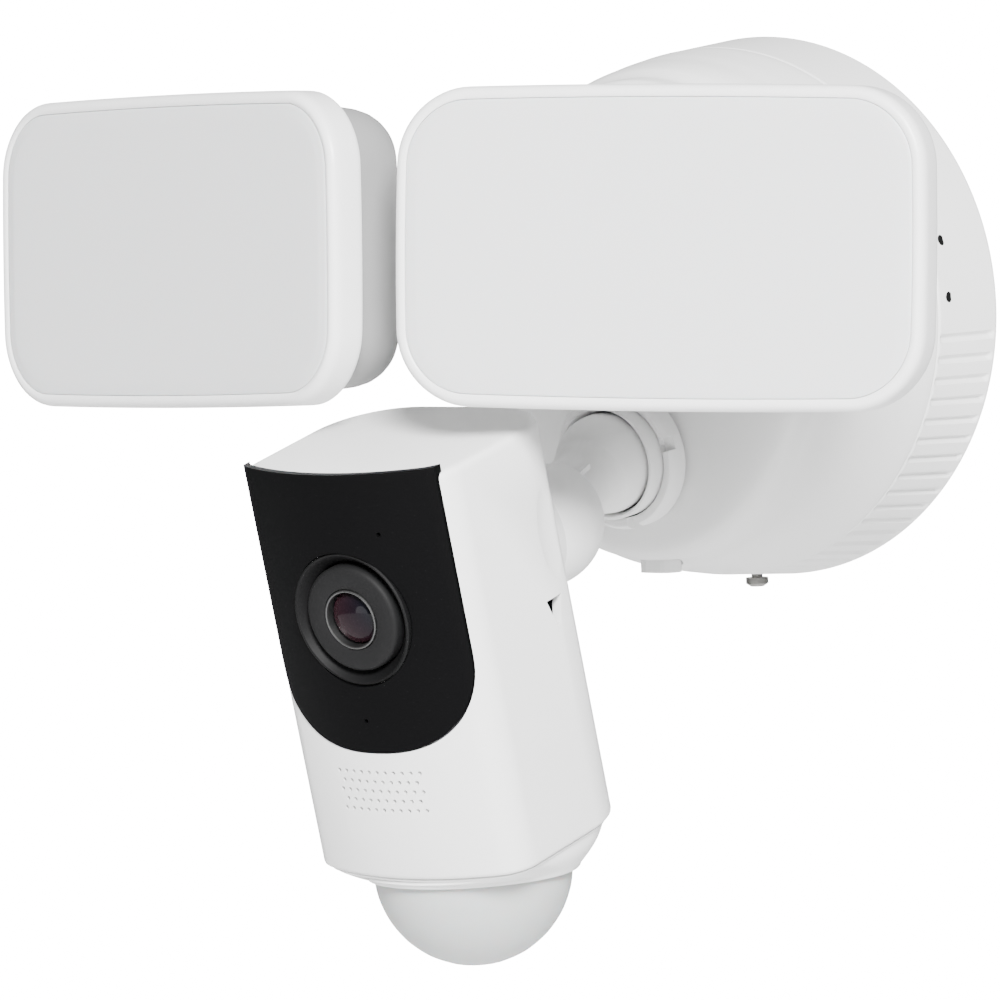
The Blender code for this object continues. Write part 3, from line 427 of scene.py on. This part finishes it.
rimProfile = [(0.95, 9.5), (0.3, 9.25), (0.05, 8.8), (0, 8.0), (0, 3.4), (0.05, 2.5), (0.25, 1.6),
              (0.6, 0.95), (1.1, 0.5), (1.6, 0.25), (2.05, 0.2), (2.5, 0.3), (2.85, 0.42), (3.0, 0.55),
              (3.05, 0.8), (3.05, 3.6), (3.5, 3.9), (3.5, 9.2), (3.3, 9.5)]
lensProfile = [(3.9, 3.4), (3.12, 3.2), (3.12, 0.85), (3.2, 0.62), (3.5, 0.47), (4.2, 0.38), (5.0, 0.3),
               (5.5, 0.22), (5.9, 0.17), (6.6, 0.14), (12.0, 0.12)]
# depth, side inset, top inset
canProfile = [(9.6, 2.2, 2.0), (10.2, 2.2, 2.0), (10.6, 2.6, 2.4), (10.9, 4.0, 3.4), (14, 4.3, 3.5),
              (18, 4.8, 3.8), (21, 5.4, 4.1), (24, 6.4, 4.8),
              (26, 7.5, 5.7), (27.6, 8.9, 6.7), (28.8, 10.6, 8.0), (29.7, 12.6, 9.8), (30.2, 14.6, 11.6),
              (30.3, 17.0, 14.0)]


def buildLamps():
    for side, hand in ((1, "right"), (-1, "left")):
        body, place = "lamp_" + hand, lampPlace(side)
        rim = skin("lampRim" + hand.title(), [lampRing(i, d) for i, d in rimProfile], place, True)
        settle(rim, "lamp_frame_white", body, "lamp_frame_" + hand)
        sheet = skin("lampSheet" + hand.title(), [lampRing(i, d) for i, d in lensProfile], place)
        settle(sheet, "opal_diffuser", body, "lamp_diffuser_" + hand)
        can = skin("lampCan" + hand.title(), [lampRing(x, d, z) for d, x, z in canProfile], place)
        tiltPlace = place @ Matrix.Translation((0, 0, -37.0 * mm))
        ears = []
        for x in (-9.3, 9.3):
            earProfile = [(0, -1.8), (5.9, -1.8), (6.4, -1.4), (6.4, 1.4), (5.9, 1.8), (0, 1.8)]
            earPlace = tiltPlace @ Matrix.Translation((x * mm, 0, 0))
            ears.append(turned("ear", scaled(earProfile), 48, earPlace @ layAlongX))
            rootOutline = ((-1.5, -6.1), (1.5, -6.1), (1.5, 6.1), (-1.5, 6.1))
            root = [[(a * mm, b * mm, h * mm) for a, b in rootOutline] for h in (0, 8.0)]
            ears.append(skin("earRoot", root, earPlace))
        carve(can, ears, "UNION")
        hole = rodAt("earHole", 2.2, -20, 20, tiltPlace @ layAlongX, 24)
        roomProfile = ((9.0, 6.8, 6.2), (20, 8.4, 7.2), (27.4, 14.5, 11.5))
        room = skin("room", [lampRing(x, d, z) for d, x, z in roomProfile], place)
        carve(can, [hole, room])
        # the can takes the painted-shade grey in place of the white plastic
        settle(can, "lampCan", body, "lamp_housing_" + hand)
    print("lamps built")


# the camera head; heights are from the tilt pin along the body
headSize = {"centre": (0.0, -105.6, -47.0), "pitch": 14.0, "front": -77.9, "halfWidth": 31.6, "depth": 58.5,
            "bow": 69.0, "frontCorner": 9.5, "rearCorner": 20.0, "top": 37.3,
            "panelHalf": 28.9, "panelFootStart": -8.0, "panelFoot": -31.7, "lensHeight": 2.1,
            "lensOpening": 17.0}
headPlace = (Matrix.Translation(Vector(headSize["centre"]) * mm)
             @ Matrix.Rotation(math.radians(headSize["pitch"]), 4, "X"))
frontPlace = headPlace @ Matrix.Translation((0, headSize["front"] * mm, 0))
lensPlace = frontPlace @ Matrix.Translation((0, 0, headSize["lensHeight"] * mm)) @ layAlongY


def headSection(inset=0.0):
    h = headSize
    side = h["halfWidth"] - h["frontCorner"]
    reach = h["bow"] - h["frontCorner"]
    frontY, lean = h["bow"] - math.sqrt(reach ** 2 - side ** 2), math.degrees(math.asin(side / reach))
    rearX, rearY = h["halfWidth"] - h["rearCorner"], h["depth"] - h["rearCorner"]
    points = arc(0, h["bow"], h["bow"] - inset, -90 - lean, -90 + lean, 32)
    points += arc(side, frontY, h["frontCorner"] - inset, -90 + lean, 0, 16)[1:]
    points += arc(rearX, rearY, h["rearCorner"] - inset, 0, 90, 18)
    points += arc(-rearX, rearY, h["rearCorner"] - inset, 90, 180, 18)
    points += arc(-side, frontY, h["frontCorner"] - inset, 180, 270 - lean, 16)[:-1]
    return [(x * mm, y * mm) for x, y in points]


def sectionRing(inset, height):
    return [(x, y, height * mm) for x, y in headSection(inset)]


def panelBlock(grow, deep=36.0):
    half, top = headSize["panelHalf"] + grow, headSize["top"] + 1.5 + grow
    start, drop = headSize["panelFootStart"], headSize["panelFoot"] - grow - headSize["panelFootStart"]
    points = [(half, top), (-half, top)]
    for i in range(49):
        turn = math.pi * i / 48
        x = -math.copysign(abs(math.cos(turn)) ** 0.8, math.cos(turn))
        points.append((half * x, start + drop * math.sin(turn) ** 0.8))
    rings = [[(x * mm, y * mm, h * mm) for x, y in points] for h in (-deep / 2, deep / 2)]
    return skin("panelBlock", rings, frontPlace @ layAlongY)


def sleeve(name, outer, inner, low=-70.0, high=40.0):
    solid = skin(name, [sectionRing(outer, low), sectionRing(outer, high)], frontPlace)
    core = skin("core", [sectionRing(inner, low - 2), sectionRing(inner, high + 2)], frontPlace)
    return carve(solid, [core])


def rodAt(name, radius, low, high, place, steps=48):
    return turned(name, [(radius * mm, low * mm), (radius * mm, high * mm)], steps, place)


def softened(item, width, angle=40.0, segments=2):
    edge = item.modifiers.new("softEdges", "BEVEL")
    edge.width, edge.segments, edge.limit_method = width * mm, segments, "ANGLE"
    edge.angle_limit = math.radians(angle)
    edge.use_clamp_overlap = True
    edge.harden_normals = False
    return item


micSpots = ((13.0, 23.6), (-1.0, -23.6))


def buildPanel():
    panel = sleeve("frontPanel", -0.25, 1.4)
    carve(panel, [panelBlock(0.0)], "INTERSECT")
    cutters = [rodAt("opening", headSize["lensOpening"], -20, 20, lensPlace, 96)]
    for x, z in micSpots:
        spot = frontPlace @ Matrix.Translation((x * mm, 0, z * mm)) @ layAlongY
        cutters.append(rodAt("hole", 0.55, -20, 20, spot, 20))
    carve(panel, cutters)
    settle(panel, "black_panel", "camera_head", "front_panel")
    print("panel built")


lensPieces = {
    "lensWell": ("black_plastic", "lens_bezel", True,
                 [(16.85, 0.7), (16.5, 0.4), (16.1, 0.5), (15.6, 1.1), (15.0, 2.0), (14.3, 2.8), (13.8, 3.4),
                  (13.6, 4.0), (13.6, 8.4), (16.0, 8.4), (16.5, 3.0), (16.8, 1.5)]),
    "lensFace": ("lensFace", "lens_plate", True,
                 [(13.3, 4.6), (13.3, 1.5), (13.1, 0.9), (12.7, 0.5), (12.2, 0.35), (8.0, 0.2), (7.75, 0.3),
                  (7.7, 0.7), (7.7, 5.4), (13.3, 5.4)]),
    "lensRing": ("lensTrim", "lens_ring", True,
                 [(7.55, 0.4), (7.45, 0.1), (7.2, 0.0), (6.95, 0.1), (6.85, 0.5), (6.8, 5.5), (7.5, 5.5)]),
    "lensDome": ("lens_glass", "lens_glass", False,
                 [(0.0, 0.2), (1.0, 0.23), (2.0, 0.33), (3.0, 0.5), (4.0, 0.75), (5.0, 1.1), (5.8, 1.5),
                  (6.3, 1.9), (6.6, 2.4), (6.6, 5.4), (0.0, 5.4)]),
}


def buildLens():
    for name, (slot, replaced, loop, profile) in lensPieces.items():
        item = turned(name, [(r * mm, -d * mm) for r, d in profile], 96, lensPlace, loop)
        settle(item, slot, "camera_head", replaced)
    print("lens built")


grille = {"pitchX": 2.47, "pitchZ": 2.41, "hole": 0.56, "shift": -1.2, "height": -41.8}


def buildShell():
    rings = [(1.4, -64.5), (0.6, -64.35), (0.15, -63.9), (0, -63.3), (0, 35.0), (0.1, 35.8), (0.4, 36.5),
             (0.9, 36.95), (1.7, 37.2), (2.8, 37.3)]
    shell = skin("cameraShell", [sectionRing(i, h) for i, h in rings], frontPlace)
    hollow = skin("hollow", [sectionRing(2.6, -80.0), sectionRing(2.6, 34.5)], frontPlace)
    recess = sleeve("recess", -3.0, 1.7)
    carve(recess, [panelBlock(0.3)], "INTERSECT")
    wirePlace = headPlace @ Matrix.Translation((0, -17.4 * mm, 0)) @ layAlongY
    cutters = [hollow, recess, rodAt("lensWay", headSize["lensOpening"], -15, 15, lensPlace, 96),
               rodAt("wireWay", 4.5, -7, 7, wirePlace, 32)]
    for x, z in micSpots:
        spot = frontPlace @ Matrix.Translation((x * mm, 0, z * mm)) @ layAlongY
        cutters.append(rodAt("way", 1.4, -15, 15, spot, 20))
    carve(shell, cutters)
    holes = bmesh.new()
    for row in range(5):
        count = 11 - row % 2
        z = grille["height"] + (2 - row) * grille["pitchZ"]
        for i in range(count):
            x = (i - (count - 1) / 2) * grille["pitchX"] + grille["shift"]
            spot = Matrix.Translation((x * mm, 0, z * mm)) @ layAlongY
            bmesh.ops.create_cone(holes, cap_ends=True, segments=14, radius1=grille["hole"] * mm,
                                  radius2=grille["hole"] * mm, depth=12 * mm, matrix=spot)
    carve(shell, [newPiece("holes", holes, frontPlace)])
    for side in (1, -1):
        half = [(math.sin(math.pi * i / 40), -math.cos(math.pi * i / 40)) for i in range(41)]
        scoopPlace = (headPlace @ Matrix.Translation(Vector((side * 35.1, -24.0, 10.0)) * mm)
                      @ Matrix.Diagonal((6 * mm, 20 * mm, 24 * mm, 1)))
        scoop = turned("scoop", half, 64, scoopPlace)
        outline = [(-3.4, 3.2), (3.4, 3.2), (0.9, -3.4), (-0.9, -3.4)]
        notch = skin("notch", [[(x * mm, y * mm, h * mm) for x, y in outline] for h in (-6, 6)],
                     headPlace @ Matrix.Translation(Vector((side * 31.0, -38.6, -8.4)) * mm)
                     @ Matrix.Rotation(math.pi / 2, 4, "Z") @ layAlongY)
        carve(shell, [scoop, notch])
    settle(shell, "white_housing", "camera_head", "camera_shell")
    print("camera shell built")


sensor = {"centre": (0.0, -50.2, -71.3), "radius": 24.4, "lean": -11.5, "wall": 0.9, "facetRows": 6,
          "facetColumns": 20, "facetDish": 0.14}
sensorPlace = (headPlace @ Matrix.Translation(Vector(sensor["centre"]) * mm)
               @ Matrix.Rotation(math.radians(sensor["lean"]), 4, "X"))


def domeRings(radius, rows, columns, dish):
    rings = []
    for i in range(rows):
        fall = math.radians(90.0 * i / rows)
        ring = []
        for j in range(columns):
            turn = 2 * math.pi * j / columns
            # lens facets: each cell is a touch flatter than the sphere
            u = (j / columns * sensor["facetColumns"]) % 1.0 - 0.5
            v = (i / rows * sensor["facetRows"]) % 1.0 - 0.5
            r = radius + (dish * (u * u + v * v - 0.25) if i > 5 else 0.0)
            ring.append((r * math.cos(fall) * math.cos(turn) * mm, r * math.cos(fall) * math.sin(turn) * mm,
                         -r * math.sin(fall) * mm))
        rings.append(ring)
    return rings + [[(x * 1e-4, y * 1e-4, -radius * mm) for x, y, _ in rings[-1]]]


def buildSensor():
    lip = 1.6
    outer = domeRings(sensor["radius"], 42, 160, sensor["facetDish"])
    inner = domeRings(sensor["radius"] - sensor["wall"], 42, 160, 0.0)
    edges = [[(x, y, lip * mm) for x, y, _ in rings[0]] for rings in (inner, outer)]
    dome = skin("sensorDome", inner[::-1] + edges + outer, sensorPlace, False, 60.0)
    shape = bmesh.new()
    shape.from_mesh(dome.data)
    bmesh.ops.remove_doubles(shape, verts=shape.verts, dist=0.000004)
    shape.to_mesh(dome.data)
    shape.free()
    settle(dome, "milky_sensor_dome", "camera_head", "sensor_dome")

    middle = headSize["depth"] / 2
    centre = sensor["centre"][1] - headSize["front"]
    section = [(x / mm, y / mm) for x, y in headSection()]
    dense = []
    for (x, y), (nextX, nextY) in zip(section, section[1:] + section[:1]):
        parts = max(1, math.ceil(math.hypot(nextX - x, nextY - y) / 1.5))
        dense += [(x + (nextX - x) * i / parts, y + (nextY - y) * i / parts) for i in range(parts)]
    lean = Matrix.Rotation(math.radians(sensor["lean"]), 4, "X")
    turns = [math.atan2(y - centre, x) for x, y in dense]

    def square(inset, height):
        across, deep = 1 - inset / headSize["halfWidth"], 1 - inset / middle
        return [Vector((x * across, middle + (y - middle) * deep, height)) for x, y in dense]

    def roundRing(radius, height):
        spots = [lean @ Vector((radius * math.cos(t), radius * math.sin(t), height)) for t in turns]
        return [Vector((spot.x, centre + spot.y, spot.z + sensor["centre"][2])) for spot in spots]

    def between(first, last, share):
        return [a.lerp(b, share) for a, b in zip(first, last)]
    top, waist = square(2.0, -65.8), roundRing(26.5, -0.5)
    rings = [square(4.0, -64.8), square(1.6, -64.8), square(1.25, -65.0), square(1.5, -65.4), top]
    for step in range(1, 8):
        ring = between(top, waist, step / 8)
        bulge = 0.9 * math.sin(math.pi * step / 8)
        rings.append([Vector((p.x * (1 + bulge / 30), middle + (p.y - middle) * (1 + bulge / 30), p.z))
                      for p in ring])
    rings += [waist, roundRing(26.3, -1.1), roundRing(25.9, -1.5), roundRing(24.9, -1.6),
              roundRing(24.8, 2.2)]
    skirt = skin("sensorSkirt", [[tuple(p * mm) for p in ring] for ring in rings], frontPlace, True)
    settle(skirt, "white_housing", "camera_head", "sensor_skirt")
    print("sensor end built")


# the lock ring; depth is from the wall
ring = {"bore": 64.4, "depth": 24.4, "front": 67.1, "wall": 69.0, "pitch": 4.6, "groove": 1.0,
        "grooveWidth": 2.2}


def grooveDepth(turn, depth):
    # grip grooves run under the ring from just below one side to the other
    angle = math.degrees(turn) % 360.0
    if not 6.0 - 1 < angle < 174.0 + 1:
        return 0.0
    nearest = round((angle - 6.0) / ring["pitch"]) * ring["pitch"] + 6.0
    across = abs(angle - nearest) / 360.0 * 2 * math.pi * ring["wall"] / (ring["grooveWidth"] / 2)
    if across >= 1 or nearest > 174.0:
        return 0.0
    ends = min(1.0, max(0.0, min(depth - 2.2, 24.0 - depth) / 1.2))
    return ring["groove"] * math.cos(across * math.pi / 2) * ends


def buildRing():
    steps = 936
    profile = [(ring["bore"], 0.8), (68.3, 0.8), (68.8, 1.1), (ring["wall"], 1.6)]
    depths = [2.2, 2.6, 3.0, 3.5, 4.5, 6.5, 9, 12, 15, 18, 20.5, 21.8, 22.8, 23.2, 23.6]
    slope = (ring["wall"] - ring["front"]) / (ring["depth"] - 1.6)
    profile += [(ring["wall"] - slope * (d - 1.6), d) for d in depths]
    profile += [(ring["front"] - 0.05, 24.0), (ring["front"] - 0.35, 24.3), (ring["front"] - 0.8, 24.4),
                (ring["bore"], 24.4)]
    rings = []
    for r, d in profile:
        points = []
        for i in range(steps):
            turn = 2 * math.pi * i / steps
            cut = grooveDepth(turn, d) if r > 66 else 0.0
            # turn runs from +X downwards
            points.append(((r - cut) * math.cos(turn) * mm, -(r - cut) * math.sin(turn) * mm, d * mm))
        rings.append(points)
    band = skin("lockRing", rings, layAlongY, True)
    hole = rodAt("hole", 1.8, -75, -60, Matrix.Translation((0, -12.4 * mm, 0)), 32)
    carve(band, [hole])
    settle(band, "white_housing", "lock_ring_body", "lock_ring")
    # two small pad printed dots stand for the open and shut marks
    for name, angle, depth in (("openMark", 15.0, 19.4), ("shutMark", 2.8, 20.0)):
        turn = math.radians(angle)
        r = ring["wall"] - slope * (depth - 1.6)
        spot = Matrix.Rotation(-turn, 4, "Y") @ Matrix.Translation((r * mm, -depth * mm, 0)) @ layAlongX
        dot = [(0, 0.06), (1.1, 0.05), (1.4, -0.02), (1.4, -0.3), (0, -0.3)]
        mark = turned(name, scaled(dot), 28, spot)
        settle(mark, "black_plastic", "lock_ring_body")
    print("lock ring built")


armSize = {"ball": (0.0, -76.0, -34.5), "tilt": (0.0, -105.6, -47.0), "drop": 6.0}
ballPlace = Matrix.Translation(Vector(armSize["ball"]) * mm)
socketPlace = ballPlace @ Matrix.Rotation(math.radians(90.0 + armSize["drop"]), 4, "X")


def buildArm():
    reach = (Vector(armSize["tilt"]) - Vector(armSize["ball"])) * mm
    length = reach.length / mm
    along = ballPlace @ Vector((0, 0, 1)).rotation_difference(reach).to_matrix().to_4x4()
    ball = [(12.6 * math.sin(math.pi * i / 60), -12.6 * math.cos(math.pi * i / 60)) for i in range(49)]
    neck = [(10.0, 8.6), (9.2, 10.6), (8.9, 12.6), (8.8, 14.6), (8.8, length - 12.0), (0, length - 12.0)]
    arm = turned("cameraArm", scaled([p for p in ball if p[1] < 7.6] + neck), 96, along)
    knuckleProfile = [(0, -6.7), (9.8, -6.7), (10.3, -6.2), (10.3, 6.2), (9.8, 6.7), (0, 6.7)]
    knuckle = turned("knuckle", scaled(knuckleProfile), 72, headPlace @ layAlongX)
    half = ((-6.6, -7.1), (6.6, -7.1), (6.6, 7.1), (-6.6, 7.1))
    tongue = skin("tongue", [[(x * mm, y * mm, h * mm) for x, y in half] for h in (14.0, length)], along)
    carve(arm, [tongue, knuckle], "UNION")
    carve(arm, [rodAt("pinHole", 2.3, -20, 20, headPlace @ layAlongX, 32)])
    settle(arm, "white_housing", "camera_arm_body", "camera_arm")

    nut = [(14.8, -10.2), (14.8, -4.3), (15.2, -3.9), (16.3, -3.6), (16.9, -3.7), (17.4, -4.2), (17.8, -5.0),
           (17.8, -9.4), (17.4, -10.0), (16.9, -10.2)]
    collar = turned("armNut", scaled(nut), 144, socketPlace, True)
    notches = []
    for i in range(4):
        turn = Matrix.Rotation(math.radians(14 + 90 * i), 4, "Z")
        half = ((-3.0, -1.7), (3.0, -1.7), (3.0, 1.7), (-3.0, 1.7))
        notches.append(skin("notch", [[(x * mm, y * mm, h * mm) for x, y in half] for h in (-6.1, -1.0)],
                            socketPlace @ turn @ Matrix.Translation((17.8 * mm, 0, 0))))
    carve(collar, notches)
    settle(softened(collar, 0.3), "white_housing", "arm_nut_body", "arm_nut")

    lobeProfile = [(16.2 * math.sin(math.pi * i / 64) * mm, -16.2 * math.cos(math.pi * i / 64) * mm)
                   for i in range(65)]
    lobe = turned("cameraFork", lobeProfile, 128, headPlace @ Matrix.Diagonal((1.05, 1, 1, 1)))
    # a saddle that spreads from the lobe onto the body's back
    saddle = []
    for step in range(9):
        share = step / 8
        reachY = -3.0 - 16.2 * share
        wide, tall = 14.4 + 2.6 * share ** 2.2, 14.6 + 5.4 * share ** 2.2
        saddle.append([(wide * math.cos(2 * math.pi * i / 96) * mm, reachY * mm,
                        tall * math.sin(2 * math.pi * i / 96) * mm) for i in range(96)])
    foot = skin("foot", saddle, headPlace)
    carve(lobe, [foot], "UNION")
    slotSide = ((-7.1, -22.0), (7.1, -22.0), (7.1, 22.0), (-7.1, 22.0))
    slot = skin("slot", [[(x * mm, y * mm, h * mm) for x, y in slotSide] for h in (-22.6, 1.4)],
                headPlace @ layAlongY)
    pocket = rodAt("pocket", 10.8, -7.1, 7.1, headPlace @ layAlongX, 64)
    pin = rodAt("pin", 2.3, -14.6, 14.6, headPlace @ layAlongX, 32)
    wires = rodAt("wires", 4.5, 2, 24, headPlace @ layAlongY, 32)
    carve(lobe, [slot, pocket, pin, wires])
    settle(lobe, "white_housing", "camera_head", "camera_fork")
    print("camera arm built")


baseSize = {"skirtRadius": 64.0, "skirtBack": 8.3, "ballSeat": 12.9}
# distance from the wall, half width, half height
baseOuter = [(24.7, 66.9, 66.9), (25.1, 67.05, 67.05), (28.0, 66.7, 66.8), (32.0, 65.9, 66.2),
             (36.0, 65.1, 65.6), (40.0, 64.0, 64.8), (43.5, 62.7, 64.3), (46.5, 61.0, 63.7),
             (49.5, 58.2, 62.9), (51.5, 55.6, 62.0), (53.0, 53.7, 61.3), (54.5, 52.7, 60.8),
             (57.0, 52.4, 60.6), (59.4, 52.3, 60.2), (61.0, 51.9, 59.0), (62.4, 50.4, 57.2),
             (63.5, 47.2, 53.4), (64.2, 42.0, 47.6), (64.6, 35.0, 39.5), (64.75, 22.0, 26.0)]
baseInner = [(7.0, 61.4, 61.4), (36.0, 61.4, 61.4), (46.0, 58.6, 60.4), (53.0, 52.0, 58.8),
             (59.0, 47.4, 56.0), (61.6, 42.0, 48.0)]


def ovalRings(sections, steps, fine):
    rings = []
    for k in range(len(sections) - 1):
        corner = [sections[min(max(k + o, 0), len(sections) - 1)] for o in (-1, 0, 1, 2)]
        for step in range(fine):
            t = step / fine
            d, x, z = [0.5 * (2 * b + (c - a) * t + (2 * a - 5 * b + 4 * c - e) * t * t
                              + (3 * b - a - 3 * c + e) * t ** 3) for a, b, c, e in zip(*corner)]
            rings.append((d, x, z))
    rings.append(sections[-1])
    return [[(x * math.cos(2 * math.pi * i / steps) * mm, z * math.sin(2 * math.pi * i / steps) * mm, d * mm)
             for i in range(steps)] for d, x, z in rings]


def lampArmPlace(side):
    root = Vector((side * 28.0, -60.0, 21.4)) * mm
    tilt = lampPlace(side) @ Vector((0, 0, -37.0 * mm))
    pan = tilt + Matrix.Rotation(side * math.radians(lampSize["splay"]), 3, "Z") @ Vector((0, 14.0 * mm, 0))
    turn = Vector((0, 0, 1)).rotation_difference(pan - root).to_matrix().to_4x4()
    return Matrix.Translation(root) @ turn, (pan - root).length / mm


def buildBase():
    shell = skin("baseShell", ovalRings(baseOuter, 160, 3), layAlongY)
    skirt = rodAt("skirt", baseSize["skirtRadius"], baseSize["skirtBack"], 27.0, layAlongY, 160)
    bossProfile = [(0, -18.4), (17.5, -18.4), (15.6, -11.4), (14.6, -9.2), (14.4, -7.0), (14.4, 0.0),
                   (14.2, 0.45), (13.8, 0.6), (0, 0.6)]
    boss = turned("boss", scaled(bossProfile), 96, socketPlace)
    bosses = [skirt, boss]
    for side in (1, -1):
        place, _ = lampArmPlace(side)
        lampBoss = [(0, -2.0), (12.6, -2.0), (11.2, 5.0), (10.4, 9.0), (10.0, 13.2), (9.6, 13.9),
                    (9.0, 14.1), (0, 14.1)]
        bosses.append(turned("lampBoss", scaled(lampBoss), 72, place))
    carve(shell, bosses, "UNION")
    seat = baseSize["ballSeat"]
    seatProfile = [(0, -13.4), (seat, -13.4), (seat, -1.4), (13.5, 0.3), (13.9, 1.0), (13.9, 5.0), (0, 5.0)]
    cutters = [skin("hollow", ovalRings(baseInner, 96, 2), layAlongY),
               turned("seat", scaled(seatProfile), 96, socketPlace),
               rodAt("wires", 6.8, -41, -1, socketPlace, 48)]
    for side in (1, -1):
        cutters.append(rodAt("way", 7.6, -17, 17, lampArmPlace(side)[0], 48))
    slot = [(x * mm, y * mm) for x, y in arc(2.1, 0, 3.8, -90, 90, 12) + arc(-2.1, 0, 3.8, 90, 270, 12)]
    cutters.append(skin("resetSlot", [[(x, y, h * mm) for x, y in slot] for h in (-67.0, -55.0)],
                        Matrix.Translation((0, -54.0 * mm, 0))))
    carve(shell, cutters[:1])
    carve(shell, cutters[1:])
    settle(shell, "white_housing", "base", "base_shell")
    print("base built")


placeCamera()
lightStage()
layFloor()
print("camera, light and floor placed")

paintNodes()
buildLamps()
buildPanel()
buildLens()
buildShell()
buildSensor()
buildRing()
buildArm()
buildBase()
